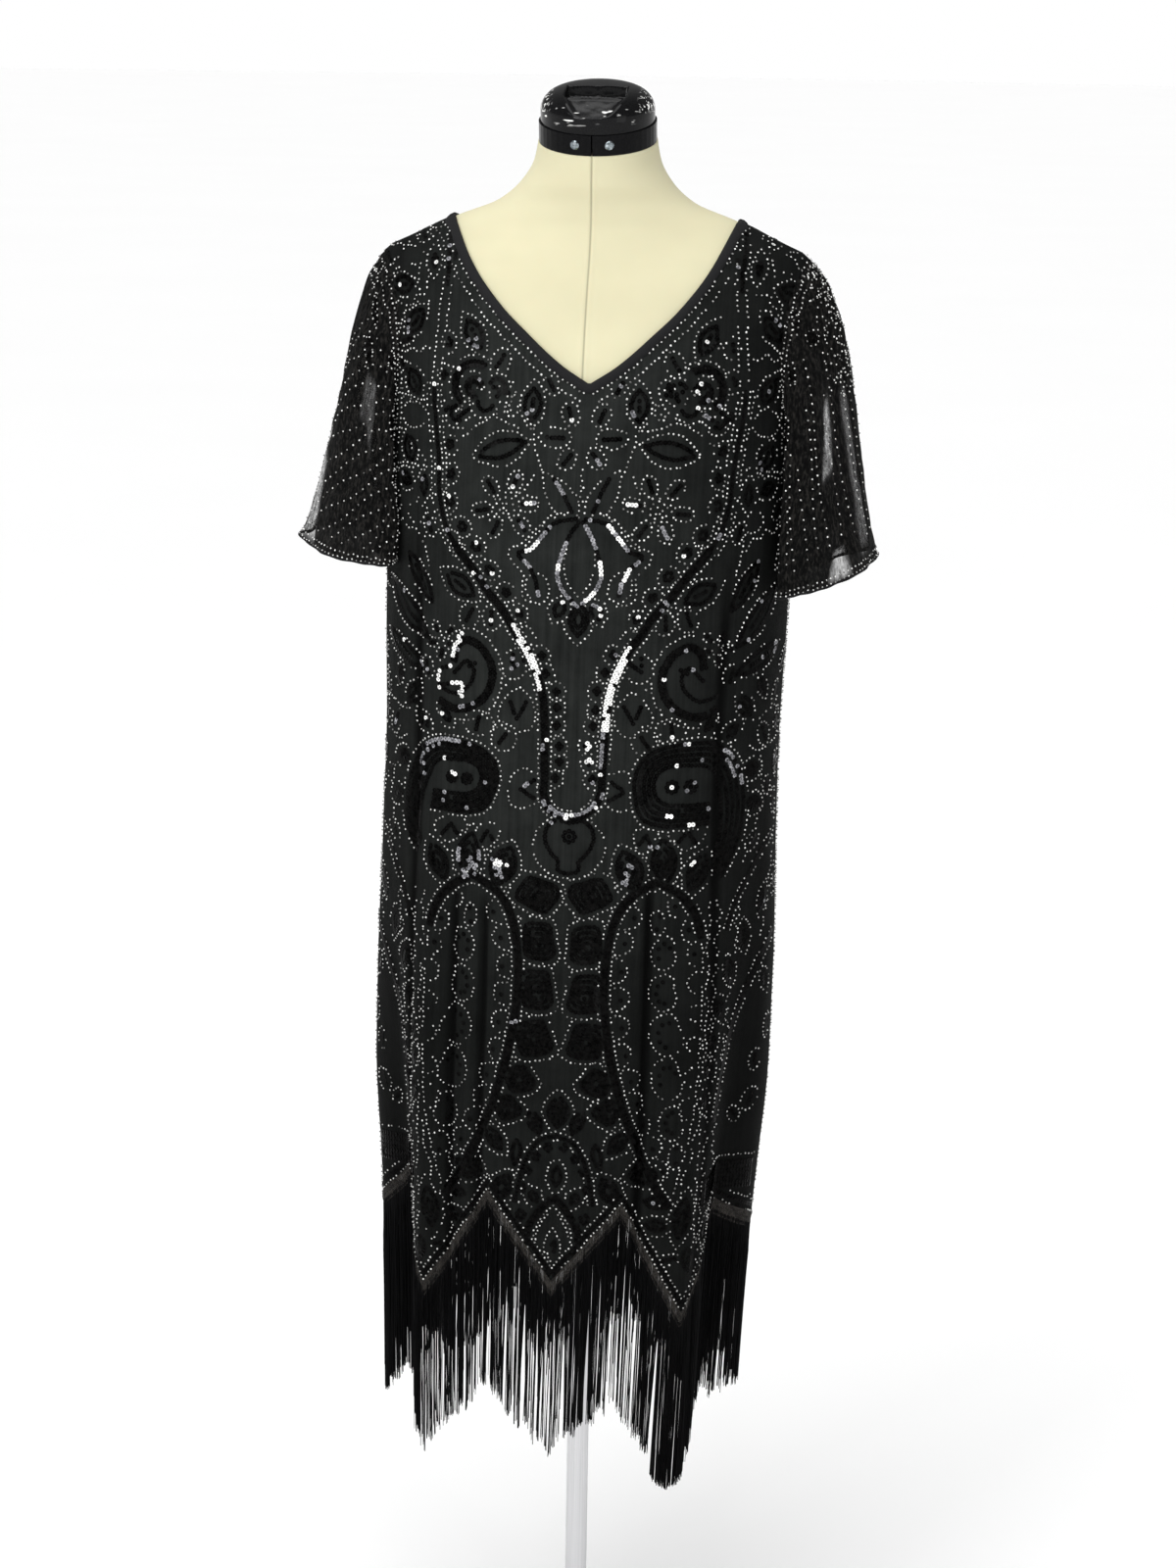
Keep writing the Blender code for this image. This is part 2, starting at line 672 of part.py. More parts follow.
def build_collar(holder):
    slit_angle = COLLAR_SLIT / COLLAR_RADIUS
    profile = (
        (COLLAR_BORE, 0.0), (COLLAR_RADIUS, 0.0),
        (COLLAR_RADIUS, COLLAR_HEIGHT), (COLLAR_BORE, COLLAR_HEIGHT),
    )
    for word, start in (("right", 0.5 * slit_angle), ("left", math.pi + 0.5 * slit_angle)):
        band = turned("form_collar_" + word, profile, GLOSS_BLACK, 24, math.pi - slit_angle, start)
        band.parent = holder


def build_rivets(holder):
    profile = ((0.0, 0.0), (RIVET_RADIUS, 0.0), (0.8 * RIVET_RADIUS, 0.6 * RIVET_HEIGHT), (0.0, RIVET_HEIGHT))
    angles = {
        "front_right": RIVET_ANGLE, "front_left": -RIVET_ANGLE,
        "back_right": math.pi - RIVET_ANGLE, "back_left": math.pi + RIVET_ANGLE,
    }
    for word, angle in angles.items():
        rivet = turned("form_rivet_" + word, profile, BRIGHT_METAL, 12)
        outward = Vector((math.sin(angle), -math.cos(angle), 0.0))
        rivet.parent = holder
        rivet.rotation_euler = outward.to_track_quat("Z", "Y").to_euler()
        rivet.location = outward * (COLLAR_RADIUS + SEAM_GAP)
        rivet.location.z = 0.5 * COLLAR_HEIGHT


def build_cap(holder):
    """Domed cap with a shallow grip sunk into its top."""
    radius = COLLAR_RADIUS - 0.0018
    profile = [(0.0, 0.0), (0.93 * radius, 0.0), (radius, 0.004), (radius, 0.009)]
    shoulder_z, steps = 0.009, 6
    for step in range(1, steps):
        angle = 0.5 * math.pi * step / steps
        profile.append((radius * math.cos(angle) ** 0.62, shoulder_z + (CAP_HEIGHT - shoulder_z) * math.sin(angle)))
    profile.append((0.0, CAP_HEIGHT))
    cap = turned("form_cap", profile, GLOSS_BLACK, 40)
    cap.parent = holder
    cap.location = (0.0, 0.0, COLLAR_HEIGHT + SEAM_GAP)
    grip = bpy.data.objects.new("grip_cutter", bpy.data.meshes.new("grip_cutter"))
    work = bmesh.new()
    bmesh.ops.create_cube(work, size=1.0, matrix=Matrix.Diagonal((*GRIP_SIZE, 1.0)))
    work.to_mesh(grip.data)
    work.free()
    bpy.context.scene.collection.objects.link(grip)
    bevel = grip.modifiers.new("round_corners", "BEVEL")
    bevel.width = 0.004
    bevel.segments = 2
    grip.parent = holder
    grip.location = (0.0, -0.012, COLLAR_HEIGHT + CAP_HEIGHT + 0.001)
    grip.rotation_euler = (math.radians(12.0), 0.0, 0.0)
    grip.hide_render = True
    grip.display_type = "WIRE"
    cut = cap.modifiers.new("grip", "BOOLEAN")
    cut.object = grip
    cut.operation = "DIFFERENCE"


def build_stand():
    bore = POLE_RADIUS + POLE_CLEARANCE
    base_profile = (
        (0.0, 0.0), (BASE_RADIUS, 0.0), (BASE_RADIUS, 0.006), (BASE_RADIUS - 0.006, 0.010),
        (0.060, BASE_TOP_Z - 0.001), (0.034, BASE_TOP_Z), (0.0, BASE_TOP_Z),
    )
    turned("stand_base", base_profile, BASE_PAINT)
    low = BASE_TOP_Z + POLE_CLEARANCE
    hub_profile = (
        (bore, low), (0.030, low), (0.030, low + 0.005), (0.026, low + 0.010),
        (0.024, HUB_TOP_Z - 0.003), (0.021, HUB_TOP_Z), (bore, HUB_TOP_Z),
    )
    turned("stand_hub", hub_profile, BASE_PAINT, 32)
    high = FORM_BOTTOM_Z + BORE_DEPTH - POLE_CLEARANCE
    turned("stand_pole", ((0.0, low), (POLE_RADIUS, low), (POLE_RADIUS, high), (0.0, high)), SATIN_STEEL, 32)


def main():
    clear_scene()
    build_stand()
    build_form()
    holder = collar_frame()
    build_collar(holder)
    build_rivets(holder)
    build_cap(holder)
    build_panel("dress_front", FRONT)
    build_panel("dress_back", BACK)
    for name, shape in SLEEVES.items():
        build_sleeve(name, shape)
    build_bindings()
    build_hem_trim("front", FRONT)
    build_hem_trim("back", BACK)
    bpy.context.view_layer.update()


main()
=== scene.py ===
import math
from collections import namedtuple

import bmesh
import bpy
import numpy as np
from mathutils import Matrix, Vector


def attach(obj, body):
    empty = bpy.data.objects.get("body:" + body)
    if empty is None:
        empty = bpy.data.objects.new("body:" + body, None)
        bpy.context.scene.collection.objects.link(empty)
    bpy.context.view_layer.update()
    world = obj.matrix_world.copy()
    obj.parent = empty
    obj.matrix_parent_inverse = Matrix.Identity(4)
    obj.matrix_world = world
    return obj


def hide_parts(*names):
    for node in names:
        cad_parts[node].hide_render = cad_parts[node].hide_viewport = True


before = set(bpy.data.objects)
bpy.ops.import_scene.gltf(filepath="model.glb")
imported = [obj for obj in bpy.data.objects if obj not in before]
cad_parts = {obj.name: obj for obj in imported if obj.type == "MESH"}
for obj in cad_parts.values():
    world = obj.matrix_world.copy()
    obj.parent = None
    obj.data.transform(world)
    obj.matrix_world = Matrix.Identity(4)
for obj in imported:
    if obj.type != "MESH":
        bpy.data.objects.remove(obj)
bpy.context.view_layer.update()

# Draped surface of the cloth, in metres: level sections, their sideways drift and soft folds
SECTIONS = np.array((
    # z, half width, depth in front, depth behind, squareness
    (0.290, 0.1775, 0.118, 0.116, 2.70),
    (0.480, 0.1820, 0.122, 0.120, 2.70),
    (0.600, 0.1885, 0.122, 0.120, 2.70),
    (0.720, 0.1950, 0.122, 0.120, 2.60),
    (0.820, 0.1945, 0.121, 0.119, 2.55),
    (0.950, 0.1905, 0.120, 0.116, 2.45),
    (1.050, 0.1885, 0.120, 0.112, 2.40),
    (1.150, 0.1905, 0.123, 0.110, 2.35),
    (1.250, 0.1915, 0.128, 0.108, 2.30),
    (1.330, 0.1910, 0.122, 0.108, 2.25),
    (1.400, 0.1930, 0.106, 0.104, 2.20),
    (1.450, 0.1980, 0.088, 0.092, 2.10),
    (1.480, 0.2010, 0.074, 0.078, 2.00),
    (1.497, 0.1990, 0.064, 0.068, 1.85),
    (1.515, 0.1660, 0.057, 0.060, 1.60),
    (1.532, 0.1320, 0.053, 0.055, 1.50),
    (1.548, 0.0920, 0.053, 0.054, 1.60),
))
FORM_LOWER = (
    (0.850, 0.1700, 0.104, 0.108, 2.20),
    (0.920, 0.1760, 0.108, 0.112, 2.20),
    (1.020, 0.1630, 0.104, 0.100, 2.20),
    (1.120, 0.1480, 0.098, 0.088, 2.20),
    (1.200, 0.1580, 0.110, 0.092, 2.20),
    (1.270, 0.1720, 0.121, 0.098, 2.20),
    (1.330, 0.1820, 0.118, 0.104, 2.20),
)
FORM_NECK = (
    (1.566, 0.0695, 0.0530, 0.053, 1.85),
    (1.585, 0.0585, 0.0530, 0.053, 2.00),
    (1.612, 0.0535, 0.0535, 0.0535, 2.00),
)
FORM_CLEARANCE = 0.0009
FORM_DEPTH_CLEARANCE = 0.0024
FORM_TOP_Z = 1.6027
NECK_TILT_START_Z = 1.556
FRONT = -1.0
BACK = 1.0
SKIRT_DRIFT = -0.020
DRIFT_TOP_Z = 1.360
DRIFT_FULL_Z = 0.300
ARMPIT_Z = 1.330
SHOULDER_TIP_Z = 1.497
NECK_POINT_Z = 1.532
PANEL_TOP_Z = 1.5318
WORK_TOP_Z = 1.540
ARMHOLE_REACH = 0.20
ARMHOLE_TUCK = 0.020
NECK_LOW_Z = {FRONT: 1.390, BACK: 1.462}
NECK_SHIFT = 0.007
NECK_SHIFT_START_Z = 1.000
TAPE_DROP = 0.014

Fold = namedtuple("Fold", "place top_z full_z width depth")
FOLDS = {
    FRONT: (
        Fold(-0.730, 1.020, 0.560, 0.036, -0.0300),
        Fold(-0.505, 1.000, 0.700, 0.020, 0.0050),
        Fold(-0.400, 0.960, 0.780, 0.014, -0.0076),
        Fold(-0.275, 0.930, 0.800, 0.013, -0.0062),
        Fold(0.305, 0.980, 0.760, 0.016, -0.0092),
        Fold(0.505, 1.000, 0.700, 0.020, 0.0045),
        Fold(0.730, 1.020, 0.560, 0.036, -0.0310),
        # Narrow creases in the broad folds
        Fold(-0.412, 0.930, 0.880, 0.0044, -0.0040),
        Fold(-0.292, 0.925, 0.880, 0.0040, -0.0032),
        Fold(0.312, 0.960, 0.900, 0.0044, -0.0052),
        Fold(-0.040, 1.140, 1.020, 0.0080, -0.0012),
        Fold(0.130, 1.100, 0.980, 0.0070, -0.0010),
        Fold(-0.600, 1.290, 1.180, 0.0050, -0.0030),
        Fold(0.560, 1.260, 1.150, 0.0060, -0.0030),
    ),
    BACK: (
        Fold(-0.740, 1.000, 0.600, 0.036, -0.0230),
        Fold(-0.520, 1.050, 0.720, 0.022, 0.0045),
        Fold(-0.330, 0.980, 0.760, 0.018, -0.0050),
        Fold(0.060, 1.080, 0.800, 0.020, -0.0035),
        Fold(0.290, 0.940, 0.780, 0.016, -0.0045),
        Fold(0.500, 1.020, 0.700, 0.021, 0.0050),
        Fold(0.750, 1.040, 0.580, 0.036, -0.0260),
        # Narrow creases in the broad folds
        Fold(-0.340, 0.960, 0.860, 0.0045, -0.0024),
        Fold(0.070, 1.060, 0.900, 0.0050, -0.0018),
        Fold(0.300, 0.930, 0.860, 0.0040, -0.0022),
        Fold(-0.580, 1.300, 1.160, 0.0060, -0.0028),
        Fold(0.600, 1.280, 1.150, 0.0055, -0.0030),
    ),
}

NARROW_CREASE = 0.009

HemCorner = namedtuple("HemCorner", "place edge_z fringe_z")
HEM = {
    FRONT: (
        HemCorner(-1.00, 0.543, 0.342), HemCorner(-0.75, 0.603, 0.390), HemCorner(-0.50, 0.506, 0.328),
        HemCorner(-0.25, 0.610, 0.400), HemCorner(0.00, 0.520, 0.341), HemCorner(0.25, 0.602, 0.392),
        HemCorner(0.50, 0.488, 0.301), HemCorner(0.75, 0.585, 0.375), HemCorner(1.00, 0.552, 0.368),
    ),
    BACK: (
        HemCorner(-1.00, 0.543, 0.350), HemCorner(-0.75, 0.600, 0.395), HemCorner(-0.50, 0.508, 0.325),
        HemCorner(-0.25, 0.604, 0.402), HemCorner(0.00, 0.512, 0.336), HemCorner(0.25, 0.602, 0.398),
        HemCorner(0.50, 0.500, 0.318), HemCorner(0.75, 0.590, 0.382), HemCorner(1.00, 0.552, 0.368),
    ),
}
NECK_EDGE = {
    # rise, half width as a part of the neck point's
    FRONT: np.array(((0.0, 0.0), (0.11, 0.19), (0.32, 0.455), (0.45, 0.605), (0.69, 0.815), (1.0, 1.0))),
    BACK: np.array(((0.0, 0.0), (0.05, 0.30), (0.20, 0.58), (0.42, 0.76), (0.70, 0.90), (1.0, 1.0))),
}
SleeveShape = namedtuple(
    "SleeveShape", "side out_x out_z in_z leave_x leave_z flare tuck crowd crowd_half crowd_end"
)
SLEEVES = {
    "sleeve_left": SleeveShape(-1.0, 0.2745, 1.230, 1.220, 0.038, 0.036, 0.034, 0.044, 50, 0.45, 0.20),
    "sleeve_right": SleeveShape(1.0, 0.2690, 1.226, 1.196, 0.036, 0.020, 0.024, 0.034, 330, 0.24, 0.52),
}
SLEEVE_ROUNDS = (
    # part of the length, swing, waves of the bead rows that run all round
    (0.045, 0.010, 21), (0.100, 0.014, 17), (0.972, 0.004, 40), (0.992, 0.003, 40),
)
# Stretches of open mesh, from one angle round the sleeve and part of its length to another
SheerLine = namedtuple("SheerLine", "around part end_around end_part half end_half amount")
SHEER = {
    "sleeve_left": (
        (0.30, 0.50, 0.42, 0.97, 0.05, 0.24, 1.00), (0.05, 0.60, -0.18, 1.00, 0.20, 0.60, 1.00),
        (1.04, 0.36, 1.48, 0.70, 0.15, 0.07, 0.50), (0.80, 0.32, 1.02, 0.52, 0.08, 0.10, 0.36),
        (5.46, 0.46, 5.36, 0.84, 0.16, 0.24, 0.45),
    ),
    "sleeve_right": (
        (0.74, 0.47, 0.94, 0.66, 0.05, 0.11, 0.72), (5.26, 0.40, 5.04, 0.74, 0.26, 0.26, 0.80),
        (0.92, 0.89, 0.98, 0.985, 0.08, 0.16, 0.72), (4.80, 0.86, 4.76, 1.00, 0.24, 0.30, 0.75),
        (0.38, 0.50, 0.50, 0.94, 0.08, 0.09, 0.38), (5.80, 0.48, 5.60, 0.98, 0.20, 0.30, 0.65),
    ),
}
SleeveLeaf = namedtuple("SleeveLeaf", "around part length width angle")
SLEEVE_LEAVES = {
    "sleeve_left": (
        (0.72, 0.18, 30, 12, -55), (0.90, 0.30, 30, 12, -20), (1.45, 0.15, 30, 12, 15),
        (1.80, 0.34, 44, 14, 4), (1.95, 0.56, 32, 14, 35),
    ),
    "sleeve_right": (
        (1.00, 0.10, 28, 12, -20), (1.40, 0.20, 34, 14, 10), (0.80, 0.25, 30, 12, 35),
        (1.75, 0.33, 36, 13, -5), (2.20, 0.42, 36, 14, 12),
    ),
}
SLEEVE_IN_X = 0.2040
SLEEVE_HALF_DEPTH = 0.092
WORD = {FRONT: "front", BACK: "back"}
FRINGE_SEED = {FRONT: 11, BACK: 23}
WORK_SEED = {FRONT: 5, BACK: 8}
SLEEVE_SEED = {"sleeve_left": 31, "sleeve_right": 32}

# Beadwork sizes in metres
CLOTH_LIFT = 0.0008
BEAD_RADIUS = 0.00104
BEAD_PITCH = 0.0047
SEQUIN_RADIUS = 0.00228
SEQUIN_PITCH = 0.0036
BEAD_GAP = 0.0026
SEQUIN_GAP = 0.0029
BEAD_TO_SEQUIN_GAP = 0.0028
MM = 0.001
# In millimetres: the step between sequin rows, from a leaf's outline to its bead row and first sequin row
BAND_STEP = 3.4
LEAF_STEP = 3.9
SCALE_STEP = 3.5
EDGE_BEADS = 2.0
EDGE_SEQUINS = 3.8
# In degrees
SEQUIN_LEAN = 7.0
OUTLINE_POINTS = 28
SPLIT_Z = 0.980

# Mesh fineness
PANEL_COLUMNS = 92
PANEL_ROWS = 128
HEM_ROWS = 10
HEM_BLEND_Z = 0.640
BINDING_STEPS = 160
TAPE_STEPS = 400
FRINGE_STRANDS = 2500
FRINGE_CLUMPS = 150
STRAND_POINTS = 8
STRAND_RADIUS = 0.00040
FRINGE_TIP = 0.50
TASSEL_HALF = 0.080
SLEEVE_COLUMNS = 168
SLEEVE_ROWS = 70
SLEEVE_LENGTH = 0.28
SLEEVE_ROUND = 0.067

# Dress form's fittings
COLLAR_Z = 1.603
COLLAR_TILT = math.radians(13.5)
COLLAR_RADIUS = 0.0545
COLLAR_HEIGHT = 0.0185
CAP_HEIGHT = 0.0300
CAP_SKIRT = 0.009
GRIP_DEPTH = 0.0105
FORM_FOOT_Z = 0.850
FORM_FINE_Z = 1.36

# Studio
FLOOR_RADIUS = 60.0
WORLD_LIGHT = 0.22
CAMERA_DISTANCE = 2.9
CAMERA_Z = 1.74


def rows_at(table, height):
    """Rows of a table at some heights: a monotone cubic runs through each column."""
    heights = table[:, 0]
    z = np.clip(np.atleast_1d(height), heights[0], heights[-1])
    index = np.clip(np.searchsorted(heights, z, side="right") - 1, 0, len(heights) - 2)
    slopes = np.diff(table, axis=0) / np.diff(heights)[:, None]
    tangents = np.zeros_like(table)
    tangents[0], tangents[-1] = slopes[0], slopes[-1]
    before, after = slopes[:-1], slopes[1:]
    same_way = before * after > 0.0
    total = np.where(same_way, before + after, 1.0)
    tangents[1:-1] = np.where(same_way, 2.0 * before * after / total, 0.0)
    span = (heights[index + 1] - heights[index])[:, None]
    t = (z[:, None] - heights[index][:, None]) / span
    return (
        (2 * t**3 - 3 * t**2 + 1) * table[index]
        + (t**3 - 2 * t**2 + t) * span * tangents[index]
        + (3 * t**2 - 2 * t**3) * table[index + 1]
        + (t**3 - t**2) * span * tangents[index + 1]
    )


def ease(t):
    t = np.clip(t, 0.0, 1.0)
    return t * t * (3.0 - 2.0 * t)


def drift_x(z):
    return SKIRT_DRIFT * np.maximum(0.0, (DRIFT_TOP_Z - z) / (DRIFT_TOP_Z - DRIFT_FULL_Z))


def section_rings(table, facing, z, place):
    """Points of the level sections, (heights, places, 3), and each one's quarter length."""
    angle = np.linspace(0.0, math.pi / 2, 320)
    points = np.zeros((len(z), len(place), 3))
    lengths = np.zeros(len(z))
    for i, (_, half_width, front, back, power) in enumerate(rows_at(table, z)):
        x = half_width * np.sin(angle) ** (2.0 / power)
        depth = (front if facing == FRONT else back) * np.cos(angle) ** (2.0 / power)
        run = np.concatenate(([0.0], np.cumsum(np.hypot(np.diff(x), np.diff(depth)))))
        along = np.abs(place) * run[-1]
        points[i, :, 0] = np.sign(place) * np.interp(along, run, x)
        points[i, :, 1] = facing * np.interp(along, run, depth)
        points[i, :, 2] = z[i]
        lengths[i] = run[-1]
    return points, lengths


class Drape:
    """One panel's surface: places run from -1 to 1 between the side lines, or by running length."""

    def __init__(self, facing):
        self.facing = facing
        self.z = np.linspace(0.285, 1.548, 380)
        self.place = np.linspace(-1.0, 1.0, 721)
        points, self.length = section_rings(SECTIONS, facing, self.z, self.place)
        outward = self.normals(points)
        depth = np.zeros(points.shape[:2])
        self.crease_shade = np.zeros(points.shape[:2])
        for fold in FOLDS[facing]:
            strength = ease((fold.top_z - self.z) / (fold.top_z - fold.full_z))
            away = (self.place[None] - fold.place) * self.length[:, None] / fold.width
            depth += fold.depth * strength[:, None] * np.exp(-(away**2))
            # Narrow creases also build the mask of painted shade that darkens the cloth in them
            if fold.width < NARROW_CREASE and fold.depth < -0.002:
                self.crease_shade += strength[:, None] * np.exp(-(away**4))
        depth += self.ripples()
        points += outward * (depth + CLOTH_LIFT)[..., None]
        points[..., 0] += drift_x(self.z)[:, None]
        self.points = points
        self.outward = self.normals(points)

    def ripples(self):
        """Slight unevenness of the hanging cloth, none along the seams."""
        s = self.place[None] * self.length[:, None]
        z = self.z[:, None]
        slow = np.sin(61.0 * s + 4.0 * z + 0.7) * np.sin(9.0 * z + 13.0 * s)
        quick = np.sin(173.0 * s - 6.0 * z + 1.9 * self.facing) * np.sin(17.0 * z + 1.3)
        free = ease((1.0 - np.abs(self.place[None])) / 0.08) * ease((1.46 - z) / 0.10)
        return (0.00045 * slow + 0.00030 * quick) * free

    def normals(self, points):
        across = np.gradient(points, axis=1)
        up = np.gradient(points, axis=0)
        normal = np.cross(across, up) * -self.facing
        normal[:, 0] = normal[:, -1] = 0.0
        normal[:, 0, 0] = -1.0
        normal[:, -1, 0] = 1.0
        return normal / (np.linalg.norm(normal, axis=2, keepdims=True) + 1e-12)

    def at(self, place, z):
        place, z = np.broadcast_arrays(np.asarray(place, float), np.asarray(z, float))
        i = np.clip((z - self.z[0]) / (self.z[1] - self.z[0]), 0.0, len(self.z) - 1.001)
        j = np.clip((place + 1.0) / (self.place[1] - self.place[0]), 0.0, len(self.place) - 1.001)
        low, left = i.astype(int), j.astype(int)
        u, v = (i - low)[..., None], (j - left)[..., None]

        def mixed(grid):
            return (
                grid[low, left] * (1 - u) * (1 - v) + grid[low + 1, left] * u * (1 - v)
                + grid[low, left + 1] * (1 - u) * v + grid[low + 1, left + 1] * u * v
            )

        normal = mixed(self.outward)
        return mixed(self.points), normal / np.linalg.norm(normal, axis=-1, keepdims=True)

    def quarter(self, z):
        return np.interp(z, self.z, self.length)

    def at_run(self, s, z):
        return self.at(np.asarray(s) / self.quarter(z), z)

    def crease_shade_at(self, place, z):
        """How far a point lies down in a narrow crease, 0 to 1: the mask of the painted shade there."""
        i = np.clip((z - self.z[0]) / (self.z[1] - self.z[0]), 0.0, len(self.z) - 1.0)
        j = np.clip((place + 1.0) / (self.place[1] - self.place[0]), 0.0, len(self.place) - 1.0)
        return np.minimum(self.crease_shade[np.rint(i).astype(int), np.rint(j).astype(int)], 1.0)

    def run_of_x(self, x, z):
        """Running length at a sideways distance from the pole's axis."""
        out = np.zeros(np.shape(x))
        rows = rows_at(SECTIONS, z)
        for i, (xi, zi) in enumerate(zip(np.atleast_1d(x), np.atleast_1d(z))):
            _, half_width, front, back, power = rows[i]
            angle = np.linspace(0.0, math.pi / 2, 320)
            across = half_width * np.sin(angle) ** (2.0 / power)
            depth = (front if self.facing == FRONT else back) * np.cos(angle) ** (2.0 / power)
            run = np.concatenate(([0.0], np.cumsum(np.hypot(np.diff(across), np.diff(depth)))))
            out[i] = math.copysign(np.interp(abs(xi - drift_x(zi)), across, run), xi - drift_x(zi))
        return out


DRAPES = {FRONT: Drape(FRONT), BACK: Drape(BACK)}


def hem_z(facing, place, column=1):
    corners = np.array(HEM[facing])
    return np.interp(place, corners[:, 0], corners[:, column])


def neck_curve(facing, side, rise):
    """Running length and height of the neckline."""
    low_z = NECK_LOW_Z[facing]
    z = low_z + (NECK_POINT_Z - low_z) * rise
    neck_x = rows_at(SECTIONS, NECK_POINT_Z)[0, 1]
    x = side * neck_x * rows_at(NECK_EDGE[facing], rise)[:, 1] + NECK_SHIFT * (1.0 - rise)
    return DRAPES[facing].run_of_x(x, z), z


def armhole_limit(z):
    """Largest place on a panel at a height, where the armhole cuts into it."""
    middle = 0.5 * (ARMPIT_Z + SHOULDER_TIP_Z)
    half = 0.5 * (SHOULDER_TIP_Z - ARMPIT_Z)
    turn = np.arccos(np.clip((middle - z) / half, -1.0, 1.0)) / math.pi
    return 1.0 - ARMHOLE_REACH * np.sin(math.pi * turn)


NECK_LINES = {}
for way in (FRONT, BACK):
    rises = np.linspace(0.0, 1.0, 40)
    NECK_LINES[way] = {side: neck_curve(way, side, rises) for side in (-1.0, 1.0)}


def on_cloth(facing, s, z, margin=0.003):
    """Which points lie on the panel, a margin inside all its edges."""
    drape = DRAPES[facing]
    length = drape.quarter(z)
    place = s / length
    fine = z > hem_z(facing, place) + 1.3 * margin
    fine &= np.abs(s) < armhole_limit(z) * length - margin
    for side in (-1.0, 1.0):
        neck_s, neck_z = NECK_LINES[facing][side]
        edge = np.interp(z, neck_z, neck_s)
        beside = side * (s - edge) > margin * 1.4
        fine &= (z < NECK_LOW_Z[facing] - margin) | beside | (side * (s - NECK_SHIFT) < 0.0)
    return fine & (z < WORK_TOP_Z)


# Meshes

def link(name, mesh):
    placed = bpy.data.objects.new(name, mesh)
    bpy.context.scene.collection.objects.link(placed)
    return placed


def mesh_from(name, points, faces, uv=None):
    """Mesh from arrays; faces all have the same number of corners."""
    mesh = bpy.data.meshes.new(name)
    faces = np.asarray(faces, np.int32)
    corners = faces.shape[1]
    mesh.vertices.add(len(points))
    mesh.vertices.foreach_set("co", np.asarray(points, np.float32).ravel())
    mesh.loops.add(faces.size)
    mesh.loops.foreach_set("vertex_index", faces.ravel())
    mesh.polygons.add(len(faces))
    mesh.polygons.foreach_set("loop_start", np.arange(0, faces.size, corners, dtype=np.int32))
    mesh.polygons.foreach_set("loop_total", np.full(len(faces), corners, np.int32))
    if uv is not None:
        layer = mesh.uv_layers.new(name="cloth")
        layer.data.foreach_set("uv", np.asarray(uv, np.float32)[faces.ravel()].ravel())
    mesh.update(calc_edges=True)
    mesh.validate()
    mesh.polygons.foreach_set("use_smooth", np.ones(len(mesh.polygons), bool))
    return mesh


def keep_values(mesh, name, values):
    """A number for each point, for the material to read."""
    kept = mesh.attributes.new(name, "FLOAT", "POINT")
    kept.data.foreach_set("value", np.asarray(values, np.float32).ravel())


def grid_faces(rows, columns, offset=0, wrap=False):
    """Quads of a grid whose points run along each row."""
    across = columns if wrap else columns - 1
    r, c = np.meshgrid(np.arange(rows - 1), np.arange(across), indexing="ij")
    after = (c + 1) % columns
    return offset + np.stack(
        (r * columns + c, r * columns + after, (r + 1) * columns + after, (r + 1) * columns + c), axis=-1
    ).reshape(-1, 4)


def frames(normal, along):
    """Unit directions (along, across, normal) from normals and rough directions."""
    along = along - normal * (along * normal).sum(1, keepdims=True)
    along /= np.linalg.norm(along, axis=1, keepdims=True) + 1e-12
    return along, np.cross(normal, along), normal


def scatter(name, shape_points, shape_faces, centres, basis, scale):
    """One mesh with a copy of a small shape at every centre."""
    along, across, normal = basis
    local = np.asarray(shape_points)[None] * np.asarray(scale)[:, None, None]
    points = (
        centres[:, None]
        + local[..., 0:1] * along[:, None]
        + local[..., 1:2] * across[:, None]
        + local[..., 2:3] * normal[:, None]
    ).reshape(-1, 3)
    count = len(shape_points)
    faces = (np.asarray(shape_faces)[None] + count * np.arange(len(centres))[:, None, None]).reshape(-1, 3)
    return mesh_from(name, points, faces)


def bead_shape(sides=6):
    """A squat round seed bead of unit radius: a ring between two tips."""
    turns = np.linspace(0.0, 2.0 * math.pi, sides, endpoint=False)
    ring_points = np.stack((np.cos(turns), np.sin(turns), 0.0 * turns), axis=1)
    faces = []
    for i in range(sides):
        j = (i + 1) % sides
        faces += [(sides, i, j), (sides + 1, j, i)]
    return np.vstack((ring_points, (0.0, 0.0, 0.86), (0.0, 0.0, -0.86))), np.array(faces)


def sequin_shape(sides=8):
    """A flat round sequin with a small hole, of unit radius."""
    turns = np.linspace(0.0, 2.0 * math.pi, sides, endpoint=False)
    outer = np.stack((np.cos(turns), np.sin(turns), 0.02 + 0.0 * turns), axis=1)
    inner = np.stack((0.24 * np.cos(turns), 0.24 * np.sin(turns), 0.0 * turns), axis=1)
    faces = []
    for i in range(sides):
        j = (i + 1) % sides
        faces += [(i, j, sides + j), (i, sides + j, sides + i)]
    return np.vstack((outer, inner)), np.array(faces)


# Motifs: outlines as arrays of (across, up) in millimetres

def smooth_line(points, per_step=10, closed=False):
    """Catmull-Rom curve through a few points."""
    p = np.array(points, float)
    if closed:
        p = np.vstack((p[-1], p, p[:2]))
    else:
        p = np.vstack((2 * p[0] - p[1], p, 2 * p[-1] - p[-2]))
    t = np.linspace(0.0, 1.0, per_step, endpoint=False)[:, None]
    parts = []
    for a, b, c, d in zip(p, p[1:], p[2:], p[3:]):
        square, cube = 2 * a - 5 * b + 4 * c - d, 3 * b - a - 3 * c + d
        parts.append(0.5 * (2 * b + (c - a) * t + square * t**2 + cube * t**3))
    line = np.vstack(parts)
    return np.vstack((line, line[:1] if closed else p[-2:-1]))


